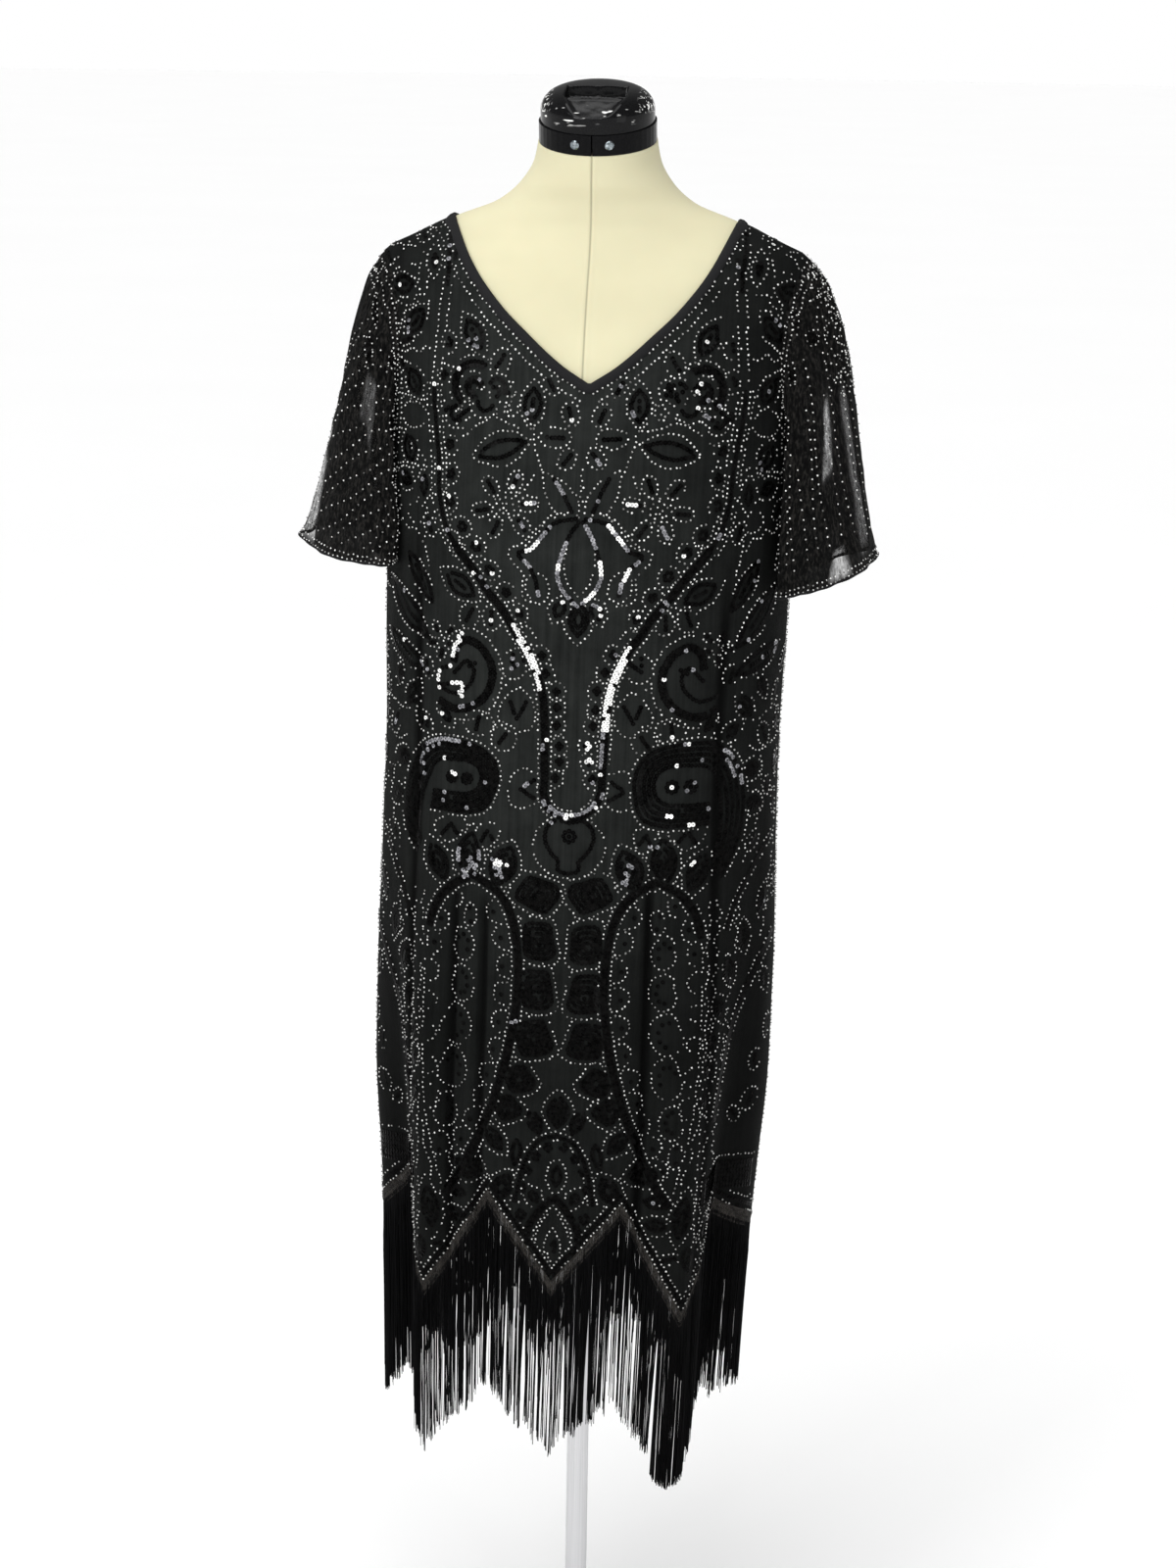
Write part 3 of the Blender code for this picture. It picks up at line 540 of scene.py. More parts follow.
def leaf(length, width):
    """Closed outline, pointed at both ends, upright."""
    t = np.linspace(0.0, 1.0, OUTLINE_POINTS)
    right = np.stack((0.5 * width * np.sin(math.pi * t) ** 0.85, length * (t - 0.5)), axis=1)
    return np.vstack((right, right[-2:0:-1] * (-1.0, 1.0), right[:1]))


def drop(length, width):
    """Closed outline, pointed at the top and round at the foot."""
    t = np.linspace(0.0, math.pi, OUTLINE_POINTS)
    x = 0.5 * width * np.sin(t) * np.sin(0.5 * t) ** 0.6 * 1.22
    right = np.stack((x, 0.5 * length * np.cos(t)), axis=1)
    return np.vstack((right, right[-2:0:-1] * (-1.0, 1.0), right[:1]))


def ring(radius_x, radius_y, count, start=0.0, end=360.0):
    turn = np.radians(np.linspace(start, end, count))
    return np.stack((radius_x * np.sin(turn), radius_y * np.cos(turn)), axis=1)


def grown(outline, amount):
    """The outline moved outwards by an amount."""
    centre = outline.mean(0)
    reach = np.linalg.norm(outline - centre, axis=1, keepdims=True)
    return centre + (outline - centre) * (1.0 + amount / np.maximum(reach, 2.0))


def turned(outline, centre=(0.0, 0.0), angle=0.0):
    c, s = math.cos(math.radians(angle)), math.sin(math.radians(angle))
    x, y = outline[:, 0], outline[:, 1]
    return np.stack((centre[0] + c * x + s * y, centre[1] - s * x + c * y), axis=1)


def blossom_spots(count, radius, centre):
    """A ring of spots and one in its middle."""
    return turned(np.vstack((ring(radius, radius, count + 1)[:-1], [(0.0, 0.0)])), centre)


class Work:
    """Beads and sequins of one panel, gathered in the panel's own (run, height) millimetres."""

    def __init__(self, facing, seed):
        self.facing = facing
        self.random = np.random.default_rng(seed)
        self.beads = []
        self.sequins = []

    def sampled(self, line, pitch):
        """Even steps along a line, and the direction at each."""
        line = np.asarray(line, float) * MM
        steps = np.linalg.norm(np.diff(line, axis=0), axis=1)
        run = np.concatenate(([0.0], np.cumsum(steps)))
        closed = np.linalg.norm(line[0] - line[-1]) < 1e-6
        count = max(2, int(round(run[-1] / pitch)) + (0 if closed else 1))
        at = np.linspace(0.0, run[-1], count, endpoint=not closed)

        def on_line(where):
            return np.stack([np.interp(where, run, line[:, k]) for k in (0, 1)], axis=1)

        return on_line(at), on_line(np.minimum(at + MM, run[-1])) - on_line(np.maximum(at - MM, 0.0))

    def swaying(self, count, offset, swing, rate):
        """Angles that drift slowly from one sequin of a row to the next."""
        middle = self.random.normal(0.0, offset)
        return middle + swing * np.sin(np.arange(count) * rate + self.random.uniform(0, 6))

    def bead(self, line, pitch=BEAD_PITCH):
        points, _ = self.sampled(line, pitch)
        points += self.random.normal(0.0, 0.00040, points.shape)
        self.beads.append(points[self.random.random(len(points)) > 0.035])

    def sequin(self, line, pitch=SEQUIN_PITCH):
        points, way = self.sampled(line, pitch)
        points += self.random.normal(0.0, 0.00018, points.shape)
        count = len(points)
        sway = self.swaying(count, 3.2, 2.4, 0.35)
        roll = self.swaying(count, 3.0, 1.6, 0.27)
        tilt = np.stack((SEQUIN_LEAN + sway, roll), axis=1) + self.random.normal(0.0, 1.1, (count, 2))
        self.sequins.append(np.hstack((points, way, tilt)))

    def dot(self, points):
        points = np.atleast_2d(np.asarray(points, float)) * MM
        way = np.tile((0.0, 1.0), (len(points), 1))
        tilt = self.random.normal(0.0, 4.0, (len(points), 2))
        self.sequins.append(np.hstack((points, way, tilt)))

    def filled(self, outline, edged, step):
        """A bead row along an outline and nested sequin rows inside it."""
        centre = outline.mean(0)
        reach = np.linalg.norm(outline - centre, axis=1).min()
        if edged:
            self.bead(grown(outline, EDGE_BEADS))
        depth = EDGE_SEQUINS if edged else 1.0
        while reach - depth > 0.8:
            self.sequin(centre + (outline - centre) * (1.0 - depth / reach))
            depth += step


def offset_line(line, amount):
    """A line moved sideways, to the left of its own direction."""
    way = np.gradient(line, axis=0)
    way /= np.linalg.norm(way, axis=1, keepdims=True) + 1e-9
    return line + np.stack((-way[:, 1], way[:, 0]), axis=1) * amount


def band(work, line, rows=2, extra=0):
    """Sequin rows side by side, with bead rows along both edges."""
    half = 0.5 * (rows - 1) * BAND_STEP
    for k in range(rows):
        work.sequin(offset_line(line, -half + BAND_STEP * k))
    for side in (-1.0, 1.0):
        for k in range(1 + extra):
            work.bead(offset_line(line, side * (half + 4.2 + 4.0 * k)))


def meander(work, start, end, swing, side):
    """A bead row that winds its way between two points."""
    start, end = np.array(start, float), np.array(end, float)
    length = np.linalg.norm(end - start)
    way = (end - start) / length
    across = np.array((-way[1], way[0]))
    waves = length / 19.0
    t = np.linspace(0.0, 1.0, int(length / 1.5) + 8)
    phase = work.random.uniform(0.0, 6.28, 2)
    quick = np.sin(6.28 * waves * t + phase[0])
    slow = np.sin(6.28 * 0.43 * waves * t + phase[1])
    amount = swing * (0.7 * quick + 0.5 * slow)
    work.bead(mirrored(start + t[:, None] * (end - start) + amount[:, None] * across, side))


# Motifs of the right side, in millimetres on the panel; the left side is their mirror image
Motif = namedtuple("Motif", "kind run height length width angle")
BODICE = (
    ("pair", 113, 1431, 44, 24, 33), ("pair", 53, 1372, 44, 24, -4),
    ("eye", 83, 1331, 58, 31, 102), ("stroke", 19, 1363, 21, 16, 24),
    ("stroke", 30, 1344, 29, 18, 90), ("stroke", 18, 1325, 21, 16, 152),
    ("lobe", 26, 1292, 50, 23, 36), ("full", 22, 1187, 26, 17, -22),
    ("stroke", 42, 1208, 28, 22, 14), ("pair", 118, 1204, 52, 27, 58),
    ("stroke", 86, 1175, 24, 18, 4), ("stroke", 107, 1178, 25, 20, -18),
    ("vee", 63, 1134, 33, 26, -30), ("vee", 58, 1089, 44, 34, -10),
    ("disc", 132, 1332, 16, 13, 30), ("disc", 130, 1306, 17, 13, -20),
    ("disc", 131, 1281, 17, 14, 15), ("disc", 118, 1258, 17, 14, 40),
    ("disc", 103, 1240, 17, 14, 50), ("disc", 89, 1220, 17, 14, 45),
    ("disc", 72, 1200, 16, 13, 40), ("disc", 58, 1180, 15, 12, 35),
    ("disc", 136, 1362, 17, 12, 0), ("disc", 139, 1394, 17, 12, 5), ("disc", 136, 1424, 17, 12, 0),
    ("stroke", 84, 1408, 24, 18, -30), ("stroke", 77, 1385, 18, 15, 20),
    ("stroke", 119, 1361, 26, 15, 128), ("stroke", 36, 1388, 20, 13, 36),
)
YOKE = (
    ("full", 156, 1492, 28, 12, 4), ("full", 136, 1498, 24, 10, -8), ("pair", 190, 1470, 36, 23, 98),
    ("pair", 176, 1440, 44, 24, -42), ("stroke", 212, 1437, 28, 18, 16), ("stroke", 229, 1428, 24, 14, 52),
    ("full", 216, 1390, 30, 10, 155), ("full", 203, 1386, 28, 9, 184), ("pair", 177, 1385, 38, 26, 28),
    ("full", 232, 1408, 24, 9, 100), ("blank", 178, 1355, 24, 34, 6), ("pair", 183, 1325, 38, 27, 24),
    ("full", 186, 1295, 28, 18, 66), ("full", 162, 1290, 34, 15, -4), ("blank", 168, 1266, 20, 26, 0),
    ("stroke", 212, 1350, 28, 16, -12), ("full", 214, 1310, 30, 13, 24), ("stroke", 204, 1274, 24, 16, 50),
    ("stroke", 178, 1516, 22, 13, 60), ("stroke", 212, 1494, 22, 14, 40), ("stroke", 152, 1256, 22, 14, 26),
)
SPRAYS = (
    ("spray", 163, 1207, 58, 21, 34), ("spray", 182, 1176, 84, 27, 47), ("spray", 184, 1134, 70, 23, 67),
    ("pair", 169, 1093, 36, 21, -30), ("pair", 190, 1110, 28, 15, -16), ("stroke", 214, 1098, 26, 14, 20),
    ("full", 222, 1068, 28, 13, 8), ("stroke", 196, 1062, 26, 18, -24), ("pair", 226, 1030, 32, 14, 6),
    ("stroke", 152, 1120, 22, 14, 14), ("full", 222, 1200, 34, 13, 60), ("full", 214, 1232, 34, 12, 44),
    ("stroke", 230, 1130, 30, 14, 40), ("stroke", 222, 992, 26, 14, -12),
)
WAIST = (
    ("stroke", 70, 1062, 27, 23, -28), ("stroke", 96, 1074, 24, 30, 0), ("full", 130, 1078, 26, 14, 36),
    ("full", 156, 1070, 26, 15, 44), ("full", 181, 1030, 26, 20, 82), ("full", 186, 994, 26, 20, 104),
    ("vee", 46, 1014, 36, 38, -90), ("vee", 74, 966, 26, 24, 188), ("vee", 114, 968, 26, 34, 180),
    ("full", 60, 939, 52, 31, -20), ("full", 93, 946, 58, 29, 0), ("full", 125, 936, 50, 26, 24),
    ("stroke", 186, 958, 24, 16, 40), ("stroke", 204, 1010, 20, 14, 10),
)
SCALES = (
    ("scale", 25, 913, 44, 34, 66), ("scale", 23, 866, 45, 33, 0), ("scale", 23, 817, 47, 33, 4),
    ("scale", 25, 769, 42, 36, 10), ("scale", 37, 729, 32, 30, 22), ("scale", 48, 698, 30, 27, 34),
)
SIDE = (
    ("pair", 211, 898, 38, 18, 12), ("pair", 187, 864, 42, 22, -14), ("pair", 170, 832, 42, 22, -18),
    ("full", 159, 797, 32, 16, -22), ("full", 149, 768, 30, 14, -8), ("full", 146, 737, 30, 14, -4),
    ("full", 143, 706, 28, 13, 0), ("stroke", 224, 690, 24, 20, 24), ("stroke", 206, 676, 20, 14, -40),
    ("full", 228, 812, 30, 13, -20), ("stroke", 238, 762, 26, 14, 8), ("stroke", 226, 730, 22, 14, 0),
    ("full", 236, 910, 30, 12, 4), ("stroke", 190, 560, 28, 16, 30), ("full", 226, 572, 28, 14, -10),
    ("full", 158, 566, 40, 15, 8), ("full", 152, 524, 26, 11, -8), ("stroke", 176, 590, 24, 14, 50),
)
HEM_LEAVES = (
    ("dark", 21, 686, 28, 13, 20), ("dark", 40, 655, 32, 10, -8), ("full", 53, 618, 40, 24, -28),
    ("full", 60, 666, 38, 21, 44), ("full", 86, 634, 38, 27, 78), ("dark", 99, 606, 28, 13, 88),
    ("full", 99, 582, 34, 18, 92), ("full", 124, 588, 60, 22, 6), ("dark", 131, 543, 30, 12, -6),
    ("full", 19, 610, 25, 14, 32), ("dark", 8, 661, 10, 8, 0), ("dark", 19, 651, 10, 8, 30),
    ("dark", 27, 636, 10, 8, 20), ("dark", 31, 618, 10, 7, 10), ("dark", 30, 590, 12, 10, 0),
    ("stroke", 112, 548, 22, 12, 84),
)
MIDDLE = (
    ("full", 6, 1176, 44, 24, 180), ("full", 1, 699, 42, 27, 0), ("full", 1, 632, 36, 16, 0),
    ("full", 1, 560, 38, 11, 0),
)
BLOSSOMS = (
    # run, height, petals, distance, petal length, petal width, first angle
    (75, 1280, 6, 23, 21, 14, -20), (205, 1413, 5, 21, 20, 9, 78), (136, 1150, 5, 12, 12, 9, 30),
)
BAND = (
    (146, 1520), (141, 1484), (145, 1456), (148, 1420), (152, 1380), (149, 1349), (144, 1315), (142, 1285),
    (134, 1257), (121, 1238), (105, 1220), (90, 1200), (74, 1181), (62, 1162), (53, 1149), (44, 1131),
    (36, 1106), (33, 1072), (32, 1031), (31, 1012), (25, 999), (15, 991), (5, 989),
)
LOTUS_SIDE = ((7, 1268), (14, 1257), (21, 1240), (25, 1220), (20, 1205), (9, 1193))
LOTUS_OVAL = ((6, 1269), (15, 1252), (19, 1232), (15, 1212), (6, 1200))
LOTUS_LOBE = ((10, 1271), (28, 1267), (40, 1254), (50, 1242), (62, 1237), (52, 1227), (46, 1216))
LOTUS_EDGE = (
    (8, 1277), (30, 1274), (46, 1260), (58, 1247), (71, 1240), (66, 1228), (57, 1218), (56, 1196), (40, 1191),
)
CURL = (
    (137, 1089), (120, 1083), (100, 1089), (86, 1104), (82, 1126), (92, 1146), (108, 1154), (121, 1147),
    (125, 1132),
)
CURL_INNER = ((122, 1120), (110, 1132), (102, 1124), (106, 1110), (120, 1100), (138, 1104))
CURL_EDGE = (
    (138, 1080), (118, 1075), (96, 1080), (79, 1097), (74, 1126), (84, 1150), (104, 1163), (124, 1157),
    (134, 1140),
)
LEFT_TAIL = (
    (-105, 1158), (-111, 1151), (-115, 1144), (-115, 1134), (-116, 1126), (-127, 1121), (-128, 1107),
    (-115, 1109), (-104, 1110), (-104, 1098),
)
CURL_ARCS = (
    # kind, run, height, radius, start, end in degrees clockwise from the top
    ("sequin", 110, 1386, 21.0, -28, 140), ("sequin", 110, 1386, 17.4, -24, 134),
    ("bead", 109, 1386, 26.5, -26, 150), ("bead", 112, 1386, 12.6, -30, 165),
    ("sequin", 110, 1384, 8.4, -60, 190), ("sequin", 110, 1384, 5.0, -70, 170),
    ("bead", 87, 1385, 12.4, -170, 30), ("sequin", 88, 1385, 7.6, -120, 60),
    ("sequin", 90, 1381, 4.4, -150, 20), ("bead", 104, 1386, 4.0, 0, 330),
    ("bead", 91, 1379, 5.0, 20, 140), ("sequin", 99, 1371, 7.2, 90, 250),
    ("bead", 100, 1370, 13.0, 100, 250), ("sequin", 126, 1360, 7.0, 20, 200),
    ("bead", 126, 1358, 12.0, 30, 230), ("bead", 76, 1367, 3.0, 0, 330), ("bead", 74, 1367, 6.6, 0, 330),
)
PAISLEY_INNER = (
    (133, 1001), (110, 1001), (93, 1002), (83, 1009), (80, 1022), (85, 1034), (97, 1039), (115, 1039),
    (131, 1037), (141, 1025), (147, 1000), (147, 970), (142, 944),
)
PAISLEY_OUTER = (
    (133, 983), (110, 982), (88, 982), (69, 991), (62, 1021), (68, 1043), (86, 1056), (112, 1060),
    (137, 1058), (160, 1040), (171, 1005), (168, 965), (150, 929),
)
OVAL_INNER = (
    (87, 926), (64, 913), (50, 892), (43, 862), (41, 831), (42, 802), (46, 771), (53, 737), (64, 698),
    (79, 660), (94, 628), (110, 602),
)
OVAL_OUTER = (
    (87, 926), (107, 916), (122, 899), (130, 878), (133, 849), (134, 811), (134, 771), (133, 727),
    (129, 683), (121, 644), (112, 603),
)
BEANS = (
    # height, run, length, width, dots
    (887, 90, 24, 13, 2), (857, 97, 33, 24, 4), (818, 98, 37, 27, 5), (776, 103, 42, 33, 5),
    (732, 105, 42, 31, 5), (688, 111, 36, 24, 5), (654, 116, 26, 14, 2),
)
LOBES = (
    # height, run
    (893, 66), (868, 58), (840, 56), (812, 56), (784, 58), (756, 63), (729, 69), (705, 76), (683, 84),
    (661, 93), (639, 103),
)
OUTER_LOBES = (
    (903, 106), (880, 120), (856, 126), (828, 128), (798, 129), (766, 129), (734, 128), (702, 125),
)
SIDE_SWEEP = ((219, 960), (198, 942), (182, 921), (168, 898), (160, 876))
SIDE_BAND = ((238, 858), (219, 840), (203, 814), (185, 778), (169, 731), (159, 682))
ARCH = ((0, 676), (18, 669), (30, 651), (37, 627), (41, 604))
DIAMOND = ((0, 608), (13, 593), (23, 573), (18, 552), (0, 531))
DIAMOND_TIP = ((0, 578), (7, 566), (8, 554), (5, 543), (0, 536))
DIAMOND_EDGE = ((0, 600), (9, 586), (16, 570), (14, 556))
BELL = ((0, 20), (13, 22), (22, 13), (22, 0), (15, -12), (10, -17), (9, -27), (0, -29))
SIDE_WINDINGS = (
    # start, end, swing
    ((139, 905), (137, 512), 1.6), ((150, 905), (146, 520), 3.0), ((176, 900), (160, 640), 4.5),
    ((231, 980), (214, 860), 3.0),
)
STEMS = (
    ((39, 1306), (45, 1320), (50, 1336), (52, 1350)), ((52, 1350), (70, 1352), (88, 1358), (104, 1352)),
    ((87, 1362), (104, 1352), (122, 1338), (134, 1341), (133, 1354), (118, 1370)),
    ((102, 1408), (110, 1412), (103, 1414)),
    ((120, 1369), (124, 1386), (114, 1402), (98, 1406), (84, 1398)), ((52, 1350), (62, 1366), (70, 1378)),
    ((6, 1315), (6, 1300), (6, 1286), (7, 1272)), ((50, 1309), (57, 1296), (66, 1290)),
    ((172, 1456), (188, 1446), (196, 1430), (205, 1414)),
    ((205, 1412), (204, 1380), (208, 1350), (216, 1320), (222, 1290)),
    ((212, 1412), (214, 1378), (222, 1340), (230, 1300), (234, 1268)),
    ((160, 1520), (168, 1500), (172, 1480), (170, 1462)),
    ((199, 1404), (196, 1372), (200, 1340), (206, 1312)),
    ((148, 1300), (166, 1308), (186, 1310), (206, 1306)),
    ((152, 1218), (158, 1244), (156, 1262)), ((160, 1098), (180, 1078), (206, 1084), (224, 1082)),
    ((176, 1052), (190, 1046), (208, 1050), (232, 1056)), ((176, 940), (188, 972), (196, 1000), (192, 1040)),
    ((44, 1160), (52, 1170), (56, 1168)), ((70, 1112), (82, 1096), (88, 1080)),
    ((58, 1066), (70, 1078), (84, 1070)),
)
PAINTED_GLINTS = (
    # painted glints: bright lines and spots where sequins are coloured near-white
    ((-56, 1297), (-46, 1285)), ((50, 1285), (52, 1285)), ((-96, 1249), (-95, 1249)),
    ((-44, 1240), (-35, 1246)), ((24, 1232), (27, 1222)), ((50, 1225), (45, 1216)),
    ((-73, 1209), (-72, 1208)), ((-14, 1198), (-12, 1197)), ((29, 1181), (28, 1180)),
    ((-53, 1168), (-45, 1153), (-37, 1138), (-33, 1124), (-31, 1110)),
    ((51, 1151), (44, 1133), (39, 1118), (35, 1100), (33, 1076)),
    ((-105, 1158), (-115, 1144), (-115, 1127)), ((-128, 1120), (-127, 1107)),
    ((-118, 1109), (-103, 1110)), ((-134, 1075), (-133, 1074)), ((-19, 1062), (-18, 1060)),
    ((19, 1066), (20, 1034)), ((2, 990), (3, 990)), ((174, 1512), (168, 1505)),
    ((-140, 1490), (-139, 1487)), ((-186, 1468), (-184, 1467)), ((96, 1065), (97, 1066)),
    ((97, 1019), (98, 1020)), ((96, 992), (98, 992)), ((-112, 1024), (-100, 1026)),
    ((-64, 940), (-58, 938)), ((118, 944), (120, 946)), ((30, 1262), (44, 1250)),
    ((-18, 1236), (-15, 1226)), ((26, 1242), (26, 1221)), ((48, 1286), (55, 1281)),
    ((-45, 1285), (-44, 1284)), ((-57, 1189), (-55, 1183)), ((-49, 1163), (-44, 1158)),
    ((12, 1196), (18, 1204)), ((-104, 1100), (-104, 1098)), ((-131, 1074), (-131, 1072)),
    ((62, 1186), (63, 1184)), ((112, 978), (118, 980)),
)
PAINTED_SHEEN_LINES = (
    # painted sheen: lines where sequins are coloured grey
    ((-16, 1305), (-14, 1294)), ((-10, 1262), (-26, 1261), (-31, 1250)),
    ((-10, 1246), (-15, 1230), (-12, 1204), (3, 1192)), ((8, 1262), (16, 1254), (20, 1246)),
    ((24, 1214), (12, 1194)), ((20, 1192), (22, 1184)), ((78, 1266), (82, 1252)),
    ((34, 1262), (46, 1240), (60, 1230)), ((48, 1199), (43, 1214)), ((-20, 1214), (-30, 1202)),
    ((-49, 1265), (-48, 1263)), ((-32, 1287), (-31, 1285)), ((-53, 1306), (-52, 1305)),
    ((-45, 1230), (-37, 1224)), ((18, 1322), (18, 1320)), ((62, 1186), (62, 1183)),
    ((-150, 1030), (-132, 1052), (-104, 1058)), ((-80, 950), (-84, 930)), ((-90, 944), (-96, 926)),
    ((-70, 946), (-62, 930)), ((-104, 950), (-108, 936)), ((60, 944), (56, 926)), ((150, 1050), (166, 1020)),
    ((28, 1040), (30, 1072)), ((-30, 1060), (-30, 1030)), ((-28, 1008), (-14, 994), (8, 992), (24, 1000)),
)
YOKE_WINDINGS = (
    # start, end, swing
    ((152, 1500), (226, 1466), 4.0), ((156, 1478), (206, 1424), 5.0), ((160, 1452), (238, 1450), 5.0),
    ((204, 1414), (158, 1412), 4.0), ((206, 1412), (244, 1436), 4.0), ((160, 1372), (214, 1366), 5.0),
    ((224, 1380), (230, 1306), 3.5), ((204, 1340), (158, 1312), 4.0), ((160, 1244), (212, 1262), 4.0),
    ((232, 1250), (240, 1160), 4.0), ((172, 1514), (204, 1488), 3.0),
)
AXIS_RUN = 5.0


def mirrored(points, side):
    """Points on the right side, or their mirror image about the panel's own middle line."""
    points = np.array(points, float)
    if side > 0:
        return points
    axis = AXIS_RUN * np.clip((points[:, 1] - 960.0) / 60.0, 0.0, 1.0)
    return np.stack((2.0 * axis - points[:, 0], points[:, 1]), axis=1)


def oval(length, width):
    return ring(0.5 * width, 0.5 * length, 40)


def scale_shape(length, width):
    """Rounded square with one corner drawn out, the shape of the leaves that line the ovals."""
    corners = np.array((
        (0.46, 0.46), (0.0, 0.50), (-0.40, 0.42), (-0.50, 0.0), (-0.56, -0.34), (-0.30, -0.50), (0.20, -0.47),
        (0.47, -0.38), (0.52, 0.0),
    )) * (width, length)
    return smooth_line(corners, 6, closed=True)


def inner_row(work, outline, part):
    centre = outline.mean(0)
    work.sequin(centre + (outline - centre) * part)


def add_motif(work, row, side):
    item = Motif(*row)
    shapes = {"scale": scale_shape, "disc": oval, "stroke": oval, "blank": oval, "vee": drop, "lobe": drop}
    shape = shapes.get(item.kind, leaf)(item.length, item.width)
    wobble = work.random.normal(0.0, 1.0, 3)
    centre = (item.run + 0.9 * wobble[0], item.height + 0.9 * wobble[1])
    angle = item.angle + 2.5 * wobble[2]

    def placed(points):
        return mirrored(turned(np.asarray(points, float), centre, angle), side)

    outline = placed(shape)
    if item.kind in ("full", "scale", "disc", "dark"):
        work.filled(outline, item.kind != "dark", SCALE_STEP if item.kind == "scale" else LEAF_STEP)
        return
    work.bead(outline)
    half, wide = 0.5 * item.length, 0.5 * item.width
    if item.kind == "stroke":
        work.sequin(placed(((0.12 * wide, -0.50 * half), (0.0, 0.50 * half))))
    elif item.kind == "lobe":
        bent = smooth_line(((-0.42 * wide, 0.55 * half), (-0.30 * wide, 0.0), (0.0, -0.75 * half)))
        work.sequin(placed(bent))
    elif item.kind == "vee":
        work.sequin(placed(((-0.45 * wide, 0.38 * half), (0.0, -0.42 * half), (0.45 * wide, 0.30 * half))))
    elif item.kind == "pair":
        inner_row(work, outline, 0.62)
        work.sequin(placed(((0.0, -0.22 * half), (0.0, 0.22 * half))))
    elif item.kind == "eye":
        inner_row(work, placed(leaf(0.80 * item.length, 0.46 * item.width)), 1.0)
    elif item.kind == "spray":
        inner_row(work, placed(leaf(0.90 * item.length, 0.66 * item.width)), 1.0)
        work.sequin(placed(((0.0, -0.40 * half), (0.0, 0.40 * half))))


def add_blossom(work, values, side):
    run, height, petals, distance, length, width, start = values
    for k in range(petals):
        angle = start + 360.0 * k / petals
        away = turned(np.array([(0.0, float(distance))]), (0.0, 0.0), angle)[0]
        add_motif(work, ("stroke", run + away[0], height + away[1], length, width, angle), side)
    for radius, count in ((3.0, 5), (7.5, 9), (11.5, 11)):
        knot = turned(ring(radius, radius, count + 1)[:-1], (run, height))
        knot += work.random.normal(0.0, 0.9, knot.shape)
        work.beads.append(mirrored(knot, side) * MM)


def add_curls(work, side):
    """A paisley curl on the bodice, a large spiral below it and the big paisley at the waist."""
    for kind, run, height, radius, start, end in CURL_ARCS:
        arc = turned(ring(radius, radius, 24, start, end), (run, height))
        getattr(work, kind)(mirrored(arc, side))
    outer = mirrored(smooth_line(CURL), side)
    work.sequin(outer)
    work.sequin(offset_line(outer, side * -LEAF_STEP))
    work.bead(mirrored(smooth_line(CURL_EDGE), side))
    work.sequin(mirrored(smooth_line(CURL_INNER), side))
    if work.facing == FRONT and side < 0:
        work.sequin(smooth_line(LEFT_TAIL), 0.0046)
    work.dot(mirrored(blossom_spots(6, 3.6, (104.0, 1129.0)), side))
    add_paisley(work, side)


def add_paisley(work, side):
    """Five black rows round a hole, with a bead row outside and two ring flowers; the left one is smaller."""
    inner, edge = smooth_line(PAISLEY_INNER), smooth_line(PAISLEY_OUTER)
    middle = (115.0, 1020.0)
    size, shift = (1.0, 0.0) if side > 0 else (0.86, 7.0)

    def place(points):
        return mirrored((np.asarray(points, float) - middle) * size + middle + (shift, 0.0), side)

    for part in (0.0, 0.25, 0.5, 0.75, 1.0):
        work.sequin(place(inner + (edge - inner) * part))
    work.bead(place(inner + (edge - inner) * 1.25))
    for run in (97.0, 115.0):
        work.dot(place(blossom_spots(8, 5.2, (run, 1019.0))))


def add_oval(work, side):
    """Skirt oval: a double sequin line, lobes with one dot each along it, beans up its middle."""

    def place(points):
        return mirrored(points, side)

    inner, outer = smooth_line(OVAL_INNER), smooth_line(OVAL_OUTER)
    band(work, place(inner), 2)
    top = outer[outer[:, 1] > 872.0]
    band(work, place(top), 2)
    lower = outer[outer[:, 1] <= 876.0]
    work.bead(place(lower))
    wavy = lower + np.stack((6.0 + 2.0 * np.sin(lower[:, 1] / 6.0), 0.0 * lower[:, 1]), axis=1)
    work.bead(place(wavy))
    for k, (height, run) in enumerate(LOBES):
        half_round = ring(13.0 + 2.0 * math.sin(2.3 * k), 12.0, 14, -12.0, 192.0)
        lobe = turned(half_round, (run - 5.0, height), -0.10 * (LOBES[0][0] - height))
        work.bead(place(lobe))
        work.dot(place(((run + 1.0, height - 1.0),)))
    for k, (height, run, length, width, dots) in enumerate(BEANS):
        notch = 1.0 - 0.24 * np.exp(-(((np.linspace(0.0, 360.0, 40) - 70.0) / 26.0) ** 2))
        bean = ring(0.5 * width, 0.5 * length, 40) * notch[:, None]
        work.bead(place(turned(bean, (run, height), 6.0 * math.sin(1.4 * k))))
        turn = np.radians(np.linspace(200.0, 380.0, dots) + 40.0 * math.sin(2.0 * k))
        spots = np.stack((0.25 * width * np.sin(turn), 0.29 * length * np.cos(turn)), axis=1)
        work.dot(place(turned(spots, (run, height))))
    for k, (height, run) in enumerate(OUTER_LOBES):
        work.bead(place(turned(ring(8.0, 10.0 + 2.0 * math.sin(k), 9, 185.0, 355.0), (run, height))))
        if k < 3:
            work.dot(place(((run - 1.0, height),)))


def add_lotus(work, side):
    """Half of the large flower under the neck."""
    work.sequin(mirrored(smooth_line(LOTUS_SIDE), side))
    work.bead(mirrored(smooth_line(LOTUS_OVAL), side))
    work.sequin(mirrored(smooth_line(LOTUS_LOBE), side))
    work.bead(mirrored(smooth_line(LOTUS_EDGE), side))
    work.bead(mirrored(offset_line(smooth_line(LOTUS_LOBE[:5]), 5.5), side))


